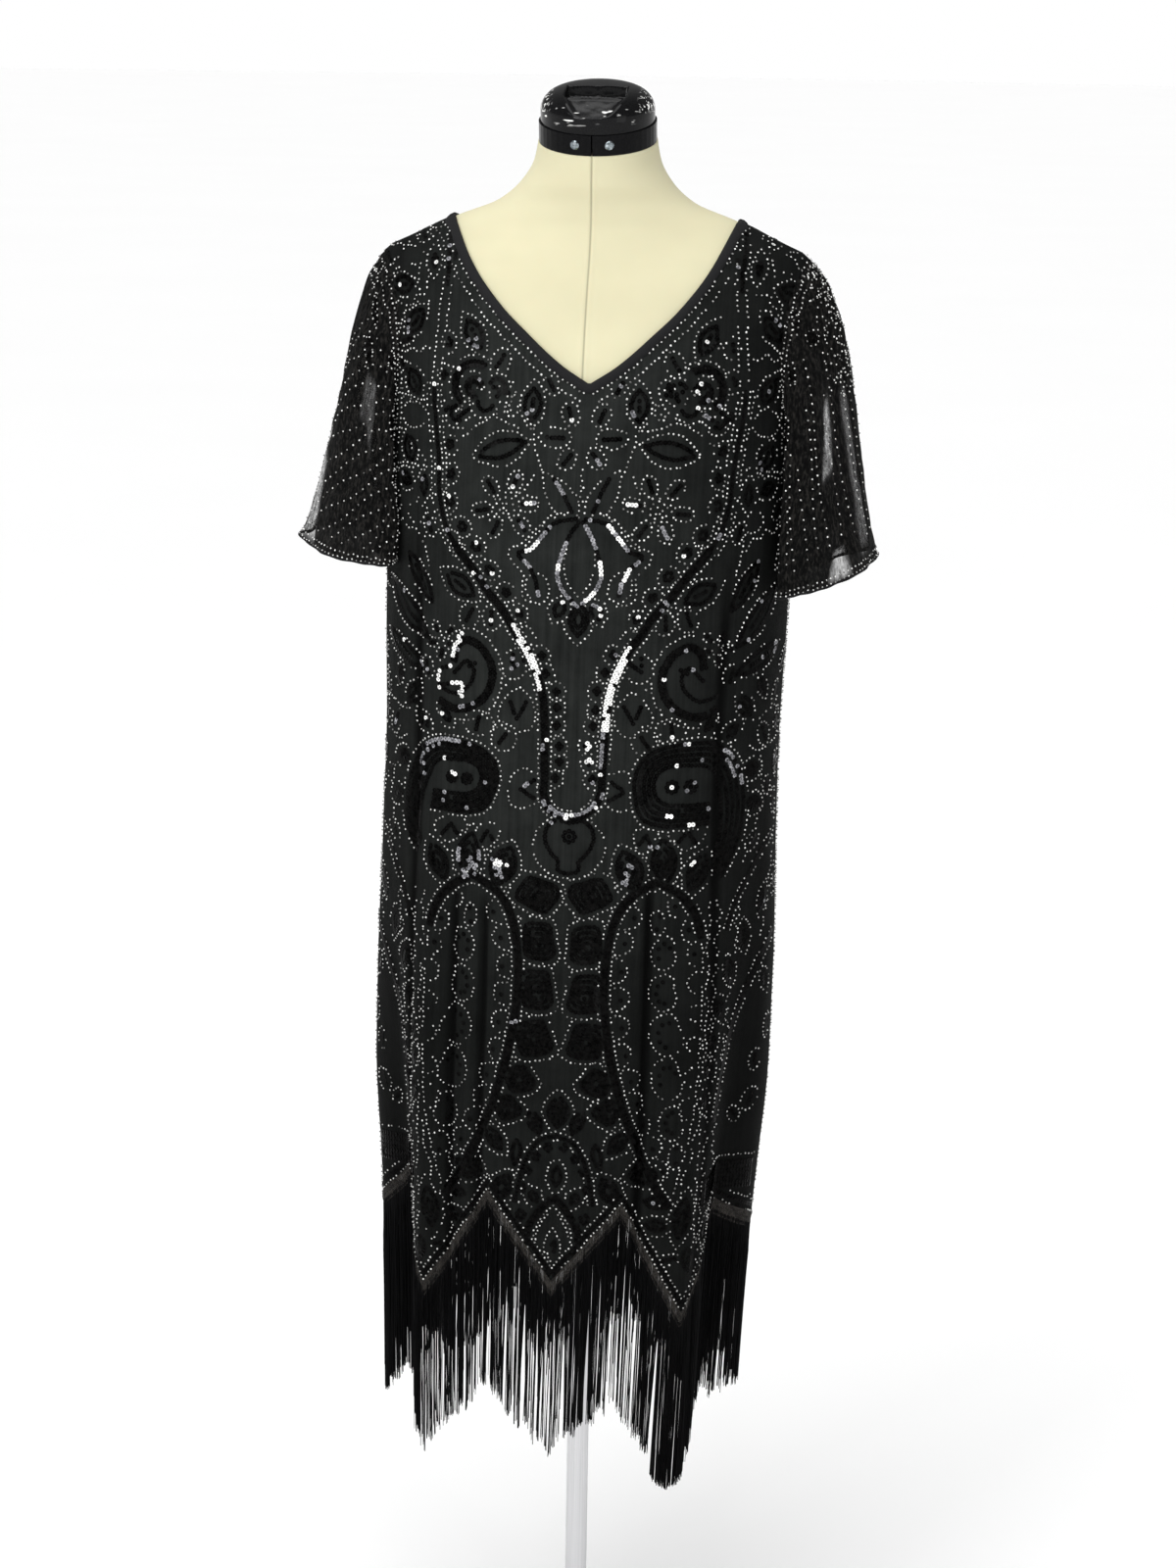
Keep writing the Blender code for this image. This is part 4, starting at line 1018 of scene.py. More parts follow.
def add_hem_arch(work, side):
    """Half of the pointed arch between the ovals and of the diamond below it."""
    arch, diamond = smooth_line(ARCH), smooth_line(DIAMOND)
    rows = (
        ("bead", arch, 1.0), ("sequin", arch, -3.4), ("bead", arch, -7.8),
        ("sequin", diamond, 0.0), ("sequin", diamond, BAND_STEP), ("bead", diamond, -4.6),
    )
    for kind, line, amount in rows:
        getattr(work, kind)(mirrored(offset_line(line, amount), side))
    for line in (DIAMOND_TIP, DIAMOND_EDGE):
        work.bead(mirrored(smooth_line(line), side))


def add_middle(work):
    """Bell in its dotted ring, and the leaves on the centre line."""
    for row in MIDDLE:
        add_motif(work, row, 1.0)
    bell = smooth_line(BELL)
    for side in (-1.0, 1.0):
        work.sequin(turned(bell * (side, 1.0), (3.0, 963.0)))
    work.dot(blossom_spots(8, 5.4, (3.0, 970.0)))
    work.bead(turned(ring(34.0, 31.0, 60, 14.0, 346.0), (3.0, 960.0)))


def hem_rows(work):
    """Two bead rows with a sequin row between them, along the zigzag."""
    facing = work.facing
    drape = DRAPES[facing]
    place = np.linspace(-0.992, 0.992, 900)
    for rise, kind in ((0.0040, "bead"), (0.0105, "sequin"), (0.0170, "bead")):
        z = hem_z(facing, place) + rise
        line = np.stack((place * drape.quarter(z), z), axis=1) / MM
        getattr(work, kind)(line)


def neck_rows(work):
    """Bead rows on and below the neck binding, with a black sequin row in the binding."""
    for side in (-1.0, 1.0):
        s, z = NECK_LINES[work.facing][side]
        line = np.stack((s, z), axis=1) / MM
        for amount, kind in ((3.4, "sequin"), (8.6, "bead"), (17.0, "bead")):
            moved = offset_line(line, -side * amount)
            keep = side * (moved[:, 0] - 1000.0 * NECK_SHIFT) > -0.5
            getattr(work, kind)(moved[keep])


def side_rows(work):
    """Bead rows down the side seams and the fold edges, and dark bands near the hem."""
    drape = DRAPES[work.facing]
    z = np.linspace(560.0, 1320.0, 200)
    for side in (-1.0, 1.0):
        length = drape.quarter(z * MM) / MM
        work.bead(np.stack((side * (length - 5.0 + 0.8 * np.sin(z / 23.0)), z), axis=1))
        for start, end, swing in SIDE_WINDINGS:
            meander(work, start, end, swing, side)
        lower = 10.0 if side > 0 else 0.0
        for k in range(7):
            run = np.linspace(150.0, 238.0, 30)
            height = 634.0 - 4.3 * k - 0.0022 * (run - 194.0) ** 2 - lower
            work.sequin(np.stack((side * run, height), axis=1))
        for level in (642.0, 596.0):
            run = np.linspace(148.0, 240.0, 30)
            height = level - 0.0022 * (run - 194.0) ** 2 - lower
            work.bead(np.stack((side * run, height), axis=1))


def yoke_rows(work):
    """Winding bead rows over the shoulder and the yoke."""
    for side in (-1.0, 1.0):
        for start, end, swing in YOKE_WINDINGS:
            meander(work, start, end, swing, side)
        run = np.linspace(150.0, 226.0, 60)
        height = 1522.0 - 0.47 * (run - 150.0) + 3.0 * np.sin(run / 5.0)
        work.bead(np.stack((side * run, height), axis=1))


def add_princess_line(work, side):
    """From the shoulder to the U at the waist: bead rows, black rows that grow stronger downwards."""
    line = smooth_line(BAND)
    height = line[:, 1]
    upper, lower = line[height > 1378.0], line[height <= 1242.0]
    middle = line[(height <= 1384.0) & (height > 1236.0)]
    band(work, mirrored(lower, side), 2)
    band(work, mirrored(middle, side), 1, 1)
    band(work, mirrored(upper[upper[:, 1] > 1472.0], side), 1)
    for amount in (-6.0, 2.8):
        work.bead(mirrored(offset_line(upper, amount), side))
    for k, height in enumerate(np.arange(1144.0, 1010.0, -17.0)):
        run = np.interp(height, line[::-1, 1], line[::-1, 0]) - 12.0
        add_motif(work, ("disc", run + 1.5 * math.sin(2.0 * k), height, 15, 12, 0), side)


def draw_panel(facing, seed):
    work = Work(facing, seed)
    hem_rows(work)
    neck_rows(work)
    for side in (-1.0, 1.0):
        add_princess_line(work, side)
        add_oval(work, side)
        add_curls(work, side)
        add_lotus(work, side)
        add_hem_arch(work, side)
        for row in WAIST + SCALES + BODICE + YOKE + SPRAYS + SIDE + HEM_LEAVES:
            add_motif(work, row, side)
        for values in BLOSSOMS:
            add_blossom(work, values, side)
        for line in STEMS:
            work.bead(mirrored(smooth_line(line), side))
        band(work, mirrored(smooth_line(SIDE_SWEEP), side), 1)
        band(work, mirrored(smooth_line(SIDE_BAND), side), 2)
    add_middle(work)
    side_rows(work)
    yoke_rows(work)
    return work


def thinned(points, gap):
    """Drops points that sit closer than a gap to one that is already kept."""
    kept = []
    cells = {}
    for index, (s, z) in enumerate(points[:, :2]):
        column, row = int(s // gap), int(z // gap)
        near = (j for a in (-1, 0, 1) for b in (-1, 0, 1) for j in cells.get((column + a, row + b), ()))
        if all(math.hypot(s - points[j, 0], z - points[j, 1]) >= gap for j in near):
            cells.setdefault((column, row), []).append(index)
            kept.append(index)
    return points[kept]


def clear_of(points, others, gap):
    """Drops points that sit closer than a gap to any of the others."""
    cells = {}
    for s, z in others[:, :2]:
        cells.setdefault((int(s // gap), int(z // gap)), []).append((s, z))
    keep = []
    for s, z in points[:, :2]:
        column, row = int(s // gap), int(z // gap)
        near = (p for a in (-1, 0, 1) for b in (-1, 0, 1) for p in cells.get((column + a, row + b), ()))
        keep.append(all(math.hypot(s - a, z - b) >= gap for a, b in near))
    return points[np.array(keep)]


def trim_to_cloth(facing, points, margin):
    return points[on_cloth(facing, points[:, 0], points[:, 1], margin)]


BEAD_POINTS, BEAD_FACES = bead_shape()
SEQUIN_POINTS, SEQUIN_FACES = sequin_shape()


def lay_beads(name, facing, points, random):
    centre, normal = DRAPES[facing].at_run(points[:, 0], points[:, 1])
    along = random.normal(0.0, 1.0, centre.shape)
    scale = BEAD_RADIUS * random.uniform(0.88, 1.14, len(points))
    centre = centre + normal * (0.86 * BEAD_RADIUS)
    mesh = scatter(name, BEAD_POINTS, BEAD_FACES, centre, frames(normal, along), scale)
    return link(name, mesh)


def lay_sequins(name, facing, rows, random):
    drape = DRAPES[facing]
    centre, normal = drape.at_run(rows[:, 0], rows[:, 1])
    step = 0.0015
    way = rows[:, 2:4] / (np.linalg.norm(rows[:, 2:4], axis=1, keepdims=True) + 1e-12)
    ahead, _ = drape.at_run(rows[:, 0] + step * way[:, 0], rows[:, 1] + step * way[:, 1])
    along, across, normal = frames(normal, ahead - centre)
    lean, roll = np.radians(rows[:, 4:5]), np.radians(rows[:, 5:6])
    tipped = normal + along * np.tan(lean) + across * np.tan(roll)
    tipped /= np.linalg.norm(tipped, axis=1, keepdims=True)
    centre = centre + normal * (0.00062 + 0.00022 * random.random((len(rows), 1)))
    scale = SEQUIN_RADIUS * random.uniform(0.94, 1.06, len(rows))
    mesh = scatter(name, SEQUIN_POINTS, SEQUIN_FACES, centre, frames(tipped, along), scale)
    mesh.polygons.foreach_set("use_smooth", np.zeros(len(mesh.polygons), bool))
    return link(name, mesh)


def split_at(points, z):
    return points[points[:, 1] < z], points[points[:, 1] >= z]


def beside(sequins, lines, reach, part, random):
    """Most of the sequins that lie along some lines, and the nearest one to each."""
    found = np.zeros(len(sequins), bool)
    for line in lines:
        line = np.array(line, float)
        t = np.linspace(0.0, len(line) - 1.0, 60)
        way = np.stack([np.interp(t, np.arange(len(line)), line[:, k]) for k in (0, 1)], axis=1) * MM
        away = np.linalg.norm(sequins[:, None, :2] - way[None], axis=2).min(1)
        found |= (away < reach) & (random.random(len(sequins)) < part)
        found |= away < away.min() + 0.0001
    return found


def sequin_kinds(facing, sequins, random):
    """0 for black sequins, 1 for grey ones with a painted sheen and 2 for near-white ones with a painted
    glint.
    """
    s, z = sequins[:, 0], sequins[:, 1]
    upper = z > SPLIT_Z
    # Painted sheen in patches and painted glints at random, more on the bodice, and on the front along the
    # listed lines
    patch = np.sin(71.0 * s + 2.0) * np.sin(53.0 * z + 1.0) + 0.5 * np.sin(190.0 * s + 77.0 * z)
    chance = random.random(len(sequins))
    painted_sheen = (patch > 0.95) & (chance < np.where(upper, 0.30, 0.03)) | (chance < np.where(upper, 0.012, 0.0))
    painted_glint_pick = chance < np.where(upper, 0.005, 0.0004)
    if facing == FRONT:
        painted_sheen |= beside(sequins, PAINTED_SHEEN_LINES, 0.0038, 0.85, random)
        painted_glint_pick |= beside(sequins, PAINTED_GLINTS, 0.0034, 0.85, random)
    return np.where(painted_glint_pick, 2, np.where(painted_sheen, 1, 0))


def lay_work(facing, seed, looks):
    """All beads and sequins of one panel as joined pieces, skirt and bodice apart."""
    work = draw_panel(facing, seed)
    random = np.random.default_rng(seed + 100)
    sequins = thinned(trim_to_cloth(facing, np.vstack(work.sequins), 0.0028), SEQUIN_GAP)
    beads = thinned(trim_to_cloth(facing, np.vstack(work.beads), 0.0016), BEAD_GAP)
    beads = clear_of(beads, sequins, BEAD_TO_SEQUIN_GAP)
    # Sparser at the sides
    beads = beads[random.random(len(beads)) > 0.15 * ease((np.abs(beads[:, 0]) - 0.10) / 0.04)]
    kinds = sequin_kinds(facing, sequins, random)
    made = []
    # Sequins with painted sheen and with painted glints are pieces of their own
    for kind, word in ((1, "painted_sheen"), (2, "painted_glint")):
        made.append(lay_sequins(f"sequins_{WORD[facing]}_{word}", facing, sequins[kinds == kind], random))
        paint(made[-1:], looks[word])
    for word, some in zip(("skirt", "bodice"), split_at(sequins[kinds == 0], SPLIT_Z)):
        made.append(lay_sequins(f"sequins_{WORD[facing]}_{word}", facing, some, random))
        paint(made[-1:], looks["sequins"])
    for word, some in zip(("skirt", "bodice"), split_at(beads, SPLIT_Z)):
        made.append(lay_beads(f"beads_{WORD[facing]}_{word}", facing, some, random))
        paint(made[-1:], looks["beads"])
    return made


# Cloth panels

def panel_half(facing, side):
    """Rows of places and heights over one half of a panel, from the hem's zigzag to the shoulder."""
    drape = DRAPES[facing]
    across = np.linspace(0.0, 1.0, PANEL_COLUMNS + 1)
    rows = []
    edge = hem_z(facing, side * across)
    for part in np.linspace(0.0, 1.0, HEM_ROWS, endpoint=False):
        rows.append((side * across, edge + (HEM_BLEND_Z - edge) * part))
    heights = np.linspace(HEM_BLEND_Z, PANEL_TOP_Z, PANEL_ROWS)
    heights[np.argmin(np.abs(heights - SHOULDER_TIP_Z))] = SHOULDER_TIP_Z
    for z in heights:
        outer = side * armhole_limit(z)
        if z <= NECK_LOW_Z[facing]:
            middle = NECK_SHIFT * ease((z - NECK_SHIFT_START_Z) / (NECK_LOW_Z[facing] - NECK_SHIFT_START_Z))
            inner = middle / drape.quarter(z)
        else:
            neck_s, neck_z = NECK_LINES[facing][side]
            inner = np.interp(z, neck_z, neck_s) / drape.quarter(z)
        rows.append((inner + (outer - inner) * across, np.full(len(across), z)))
    return rows


def build_panel(facing):
    points, uv, faces, crease_shade = [], [], [], []
    drape = DRAPES[facing]
    for side in (-1.0, 1.0):
        rows = panel_half(facing, side)
        start = len(points) * (PANEL_COLUMNS + 1)
        for place, z in rows:
            points.append(drape.at(place, z)[0])
            uv.append(np.stack((place * drape.quarter(z), z), axis=1))
            crease_shade.append(drape.crease_shade_at(place, z))
        quads = grid_faces(len(rows), PANEL_COLUMNS + 1, start)
        faces.append(quads[:, ::-1] if side * facing > 0 else quads)
    mesh = mesh_from(f"dress_{WORD[facing]}_cloth", np.vstack(points), np.vstack(faces), np.vstack(uv))
    # Painted shade in the narrow creases, read by the cloth material
    keep_values(mesh, "crease_shade", np.concatenate(crease_shade))
    weld(mesh, 0.00002)
    return link(mesh.name, mesh)


def weld(mesh, distance):
    work = bmesh.new()
    work.from_mesh(mesh)
    bmesh.ops.remove_doubles(work, verts=work.verts, dist=distance)
    bmesh.ops.dissolve_degenerate(work, edges=work.edges, dist=distance)
    work.to_mesh(mesh)
    work.free()


def strip(name, facing, lines, lifts):
    """Strip of cloth on a panel, its long lines given as (run, height) rows with a lift each."""
    drape = DRAPES[facing]
    points = []
    for (s, z), lift in zip(lines, lifts):
        point, normal = drape.at_run(s, z)
        points.append(point + normal * lift)
    uv = np.vstack([np.stack((s, z), axis=1) for s, z in lines])
    mesh = mesh_from(name, np.vstack(points), grid_faces(len(lines), len(lines[0][0])), uv)
    return link(name, mesh)


def build_binding(facing):
    """Narrow bias binding: flat on the cloth, rolled over the neck edge."""
    halves = [NECK_LINES[facing][side] for side in (-1.0, 1.0)]
    s = np.concatenate((halves[0][0][::-1], halves[1][0][1:]))
    z = np.concatenate((halves[0][1][::-1], halves[1][1][1:]))
    fine = np.linspace(0.0, 1.0, BINDING_STEPS)
    run = np.linspace(0.0, 1.0, len(s))
    s, z = np.interp(fine, run, s), np.minimum(np.interp(fine, run, z), PANEL_TOP_Z)
    line = np.stack((s, z), axis=1)
    offsets = (0.0004, -0.0009, 0.0000, 0.0022, 0.0048, 0.0072, 0.0080)
    lifts = (-0.0018, 0.0002, 0.0016, 0.0022, 0.0021, 0.0014, 0.0003)
    lines = []
    for amount in offsets:
        moved = offset_line(line, -amount)
        lines.append((moved[:, 0], moved[:, 1]))
    return strip(f"binding_{WORD[facing]}", facing, lines, lifts)


def build_tape(facing):
    place = np.linspace(-0.999, 0.999, TAPE_STEPS)
    edge = hem_z(facing, place)
    drape = DRAPES[facing]
    lines = []
    for drop_by in np.linspace(-0.0030, TAPE_DROP, 6):
        z = edge - drop_by
        lines.append((place * drape.quarter(z), z))
    wave = (0.0012, 0.0006, 0.0002, 0.0006, 0.0000, 0.0004)
    return strip(f"tape_{WORD[facing]}", facing, lines, wave)


def build_fringe(facing, seed):
    """Loose strands from the tape down, gathered into clumps with gaps between some of them."""
    random = np.random.default_rng(seed)
    drape = DRAPES[facing]
    clumps = np.sort(random.uniform(-1.0, 1.0, FRINGE_CLUMPS))
    place = random.uniform(-0.996, 0.996, FRINGE_STRANDS)
    index = np.argmin(np.abs(place[:, None] - clumps[None]), axis=1)
    pull = (random.choice((0.05, 0.30, 0.80), len(clumps)) + random.uniform(-0.05, 0.08, len(clumps)))[index]
    top = hem_z(facing, place) - random.uniform(0.0015, TAPE_DROP, len(place))
    uneven = 0.016 * random.random(len(clumps))[index] + random.exponential(0.0090, len(place)) - 0.008
    # One wide tassel at the lowest corner stays together and ends bluntly
    tassel = np.abs(place - FRINGE_TIP) < TASSEL_HALF
    pull = np.where(tassel, 0.05, np.where(place < -0.60, np.minimum(pull, 0.20), pull))
    low = hem_z(facing, np.where(tassel, FRINGE_TIP, place), 2) + np.where(tassel, 0.3 * uneven, uneven)
    low += np.where(tassel, 0.016 * ((place - FRINGE_TIP) / TASSEL_HALF) ** 4, 0.0)
    # Some strands end early: many in the middle, which leaves it open below, and at the viewer's right
    middle = (np.abs(place + 0.05) < 0.52) & ~tassel
    sparse = (np.sin(23.0 * place + 2.0) + np.sin(61.0 * place) > 0.35) & middle
    early = random.random(len(place)) < np.where(sparse, 0.66, np.where(middle, 0.26, 0.0))
    short = random.random(len(place)) < np.where(tassel, 0.0, 0.12 + 0.43 * ease((place - 0.60) / 0.15))
    part = np.where(short, random.uniform(0.45, 1.0, len(place)), 1.0)
    part = np.where(early, random.uniform(0.18, 0.50, len(place)), part)
    low = top + (low - top) * part
    t = np.linspace(0.0, 1.0, STRAND_POINTS)[None]
    sway = random.normal(0.0, 0.0030, len(place))
    phase = random.uniform(0.0, 6.28, len(place))
    at_place = place[:, None] + (clumps[index] - place)[:, None] * pull[:, None] * ease(1.25 * t - 0.20)
    at_place += sway[:, None] * t**2 + 0.0012 * np.sin(5.0 * t + phase[:, None]) * t
    z = top[:, None] + (low - top)[:, None] * t
    lift = random.uniform(-0.0022, 0.0024, len(place))[:, None] * ease(3.0 * t)
    centre, normal = drape.at(np.clip(at_place, -0.999, 0.999), z)
    centre = centre + normal * lift[..., None]
    radius = STRAND_RADIUS * random.uniform(0.75, 1.15, len(place))
    turn = np.radians((90.0, 210.0, 330.0))
    side = np.cross(normal, (0.0, 0.0, 1.0))
    side /= np.linalg.norm(side, axis=2, keepdims=True)
    ring_points = (
        centre[:, :, None]
        + (side[:, :, None] * np.cos(turn)[:, None] + normal[:, :, None] * np.sin(turn)[:, None])
        * radius[:, None, None, None]
    )
    faces = [grid_faces(STRAND_POINTS, 3, i * STRAND_POINTS * 3, wrap=True) for i in range(len(place))]
    mesh = mesh_from(f"fringe_{WORD[facing]}_strands", ring_points.reshape(-1, 3), np.vstack(faces))
    return link(mesh.name, mesh)


# Sleeves

class Sleeve:
    """Draped tube of mesh cloth: columns run round it from the shoulder tip over the front."""

    def __init__(self, name):
        self.name = name
        self.shape = SLEEVES[name]
        side = self.shape.side
        around = np.linspace(0.0, 2.0 * math.pi, SLEEVE_COLUMNS, endpoint=False)
        front = around <= math.pi
        turn = np.where(front, 1.0 - around / math.pi, around / math.pi - 1.0)
        middle = 0.5 * (ARMPIT_Z + SHOULDER_TIP_Z)
        half = 0.5 * (SHOULDER_TIP_Z - ARMPIT_Z)
        place = side * (1.0 - ARMHOLE_REACH * np.sin(math.pi * turn) - ARMHOLE_TUCK)
        z = middle - half * np.cos(math.pi * turn)
        start = np.zeros((len(around), 3))
        for facing, chosen in ((FRONT, front), (BACK, ~front)):
            point, normal = DRAPES[facing].at(place[chosen], z[chosen])
            start[chosen] = point - normal * 0.0006
        a, b, c, d = self.control(start, around)
        t = np.linspace(0.0, 1.0, SLEEVE_ROWS)[:, None, None]
        points = a * (1 - t) ** 3 + b * 3 * t * (1 - t) ** 2 + c * 3 * t * t * (1 - t) + d * t**3
        self.points = points + self.normals(points) * self.creases(around[None], t[..., 0])[..., None]
        self.outward = self.normals(self.points)

    def control(self, start, around):
        shape = self.shape
        side = shape.side
        top = 0.5 * (1.0 + np.cos(around))
        depth_way = -np.sin(around)
        leave = np.stack((
            side * (0.003 + (shape.leave_x - 0.003) * top),
            0.014 * depth_way,
            -0.022 - (shape.leave_z - 0.022) * top - 0.012 * np.abs(depth_way),
        ), axis=1)
        arrive = np.stack((
            side * (0.002 - (shape.flare + 0.002) * top), -0.010 * depth_way, 0.040 + 0.050 * top
        ), axis=1)
        middle_x = 0.5 * (shape.out_x + SLEEVE_IN_X)
        reach = 0.5 * (shape.out_x - SLEEVE_IN_X)
        # The cuff's front swings in before the bodice's side, its back less so
        tuck = shape.tuck * np.sin(around) ** 2 * (1.0 - 0.7 * np.cos(around))
        tuck *= np.where(around < math.pi, 1.0, 0.4)
        end = np.stack((
            side * (middle_x + reach * np.cos(around) - tuck),
            -SLEEVE_HALF_DEPTH * np.sin(around) + 0.004 * np.sin(5.0 * around) * np.sin(around) ** 2,
            0.5 * (shape.out_z + shape.in_z) + 0.5 * (shape.out_z - shape.in_z) * np.cos(around)
            - 0.010 * np.sin(around) ** 2,
        ), axis=1)
        return start, start + leave, end + arrive, end

    def normals(self, points):
        across = np.roll(points, -1, axis=1) - np.roll(points, 1, axis=1)
        normal = np.cross(across, np.gradient(points, axis=0)) * self.shape.side
        return normal / np.linalg.norm(normal, axis=2, keepdims=True)

    def creases(self, around, t):
        """Long soft folds down the sleeve and the fine crinkle of the mesh."""
        side = self.shape.side
        bend = around + 0.25 * np.sin(3.1 * t + side)
        folds = 0.0034 * np.sin(4.0 * bend + 0.8 * side) + 0.0022 * np.sin(7.0 * bend - 1.3 * side + 1.5 * t)
        crinkle = (
            0.00055 * np.sin(31.0 * bend + 5.0 * np.sin(9.0 * t + 2.0 * around))
            + 0.00045 * np.sin(47.0 * bend - 7.0 * t + 3.0 * np.sin(5.0 * around + 11.0 * t))
            + 0.00040 * np.sin(19.0 * around + 41.0 * t + 2.0 * np.sin(13.0 * t - 4.0 * around))
        )
        wave = 0.0030 * np.sin(9.0 * around + side) * np.clip((t - 0.86) / 0.14, 0.0, 1.0) ** 2
        return (folds * ease(t / 0.45) + crinkle * ease(t / 0.10)) * (1.0 - 0.35 * t) + wave

    def at(self, around, t):
        """Point and outward direction at an angle round the sleeve and a part of its length."""
        around, t = np.broadcast_arrays(np.asarray(around, float), np.asarray(t, float))
        i = np.clip(t * (SLEEVE_ROWS - 1), 0.0, SLEEVE_ROWS - 1.001)
        j = (around / (2.0 * math.pi)) % 1.0 * SLEEVE_COLUMNS
        low, left = i.astype(int), j.astype(int) % SLEEVE_COLUMNS
        right = (left + 1) % SLEEVE_COLUMNS
        u, v = (i - low)[..., None], (j - np.floor(j))[..., None]

        def mixed(grid):
            return (
                grid[low, left] * (1 - u) * (1 - v) + grid[low + 1, left] * u * (1 - v)
                + grid[low, right] * (1 - u) * v + grid[low + 1, right] * u * v
            )

        normal = mixed(self.outward)
        return mixed(self.points), normal / np.linalg.norm(normal, axis=-1, keepdims=True)

    def build(self):
        columns = SLEEVE_COLUMNS
        around = np.arange(columns) / columns
        uv = np.stack(np.meshgrid(around * 0.50, np.linspace(0.0, 0.30, SLEEVE_ROWS)), axis=-1).reshape(-1, 2)
        faces = grid_faces(SLEEVE_ROWS, columns, wrap=True)
        mesh = mesh_from(self.name + "_mesh", self.points.reshape(-1, 3), faces, uv)
        keep_values(mesh, "openness", self.openness())
        return link(mesh.name, mesh)

    def openness(self):
        """How open the mesh is at each point, 0 to 1."""
        around = np.linspace(0.0, 2.0 * math.pi, SLEEVE_COLUMNS, endpoint=False)[None]
        part = np.linspace(0.0, 1.0, SLEEVE_ROWS)[:, None]
        total = np.zeros((SLEEVE_ROWS, SLEEVE_COLUMNS))
        for row in SHEER[self.name]:
            line = SheerLine(*row)
            along = (part - line.part) / (line.end_part - line.part)
            middle = line.around + (line.end_around - line.around) * along
            half = line.half + (line.end_half - line.half) * np.clip(along, 0.0, 1.0)
            away = np.abs((around - middle + math.pi) % (2.0 * math.pi) - math.pi)
            inside = ease(along / 0.12 + 0.5) * ease((1.0 - along) / 0.12 + 0.5)
            total += line.amount * inside * ease((half - away) / 0.06 + 0.5)
        return np.clip(total, 0.0, 1.0)

    def hem(self):
        """Rolled edge round the cuff."""
        around = np.linspace(0.0, 2.0 * math.pi, 180, endpoint=False)
        centre, outward = self.at(around, 0.998)
        lower, _ = self.at(around, 0.985)
        down = centre - lower
        down /= np.linalg.norm(down, axis=1, keepdims=True)
        turn = np.linspace(0.0, 2.0 * math.pi, 8, endpoint=False)
        radius = 0.0014 + 0.0003 * np.sin(23.0 * around)
        points = centre[:, None] + radius[:, None, None] * (
            outward[:, None] * np.cos(turn)[:, None] + down[:, None] * np.sin(turn)[:, None]
        )
        faces = grid_faces(len(around), 8, wrap=True)
        last = (len(around) - 1) * 8
        k = np.arange(8)
        closing = np.stack((last + k, last + (k + 1) % 8, (k + 1) % 8, k), axis=1)
        mesh = mesh_from(self.name + "_hem", points.reshape(-1, 3), np.vstack((faces, closing)))
        return link(mesh.name, mesh)

    def row(self, around, part, pitch):
        """Even steps along a line on the sleeve."""
        points, _ = self.at(around, part)
        run = np.concatenate(([0.0], np.cumsum(np.linalg.norm(np.diff(points, axis=0), axis=1))))
        at = np.arange(0.0, run[-1], pitch)
        return np.stack((np.interp(at, run, around), np.interp(at, run, part)), axis=1)

    def slanting_rows(self):
        """Sparse rows that rise towards the body, and a few down beside the armhole."""
        rows = []
        for way in (1.0, -1.0):
            for base in np.arange(0.30, 1.50, 0.064):
                along = np.linspace(0.20, 2.40, 120)
                part = base - 0.30 * (along - 0.5) + 0.012 * np.sin(7.0 * along + 20.0 * base)
                inside = (part > 0.20) & (part < 0.94)
                if inside.sum() > 3:
                    rows.append(self.row(way * along[inside], part[inside], 0.0078))
            part = np.linspace(0.08, 0.90, 120)
            rows.append(self.row(way * (2.02 + 0.04 * np.sin(19.0 * part)), part, 0.0056))
        return rows

    def upright_rows(self, random):
        rows = []
        for k in range(32):
            base = 2.0 * math.pi * (k + 0.6 * random.random()) / 32
            part = np.linspace(random.uniform(0.20, 0.55), random.uniform(0.86, 0.94), 120)
            winding = 0.036 * np.sin(11.0 * part + random.uniform(0.0, 6.28))
            rows.append(self.row(base + winding, part, random.uniform(0.0074, 0.0098)))
        return rows

    def marks(self, seed):
        """Places of the beads and of the black sequins, as angle round the sleeve and part of its length."""
        random = np.random.default_rng(seed)
        beads = self.slanting_rows() if self.shape.side < 0 else self.upright_rows(random)
        sequins = []
        whole = np.linspace(0.0, 2.0 * math.pi, 400)
        for part, swing, waves in SLEEVE_ROUNDS:
            winding = part + swing * np.sin(waves * whole) * np.sin(2.3 * whole + part)
            beads.append(self.row(whole, winding, 0.0048))
        crowd = self.shape.crowd
        around = random.normal(0.1, self.shape.crowd_half, crowd)
        beads.append(np.stack((around, random.uniform(0.03, self.shape.crowd_end, crowd)), axis=1))
        leaf_rows = ((1.0, 1.0, 0.0060, beads), (0.62, 0.42, SEQUIN_PITCH, sequins))
        for row in SLEEVE_LEAVES[self.name]:
            item = SleeveLeaf(*row)
            for way in (1.0, -1.0):
                for size, width, pitch, kept in leaf_rows:
                    shape = turned(leaf(size * item.length, width * item.width), (0.0, 0.0), item.angle) * MM
                    around = way * (item.around + shape[:, 0] / SLEEVE_ROUND)
                    kept.append(self.row(around, item.part - shape[:, 1] / SLEEVE_LENGTH, pitch))
        return np.vstack(beads), np.vstack(sequins), random

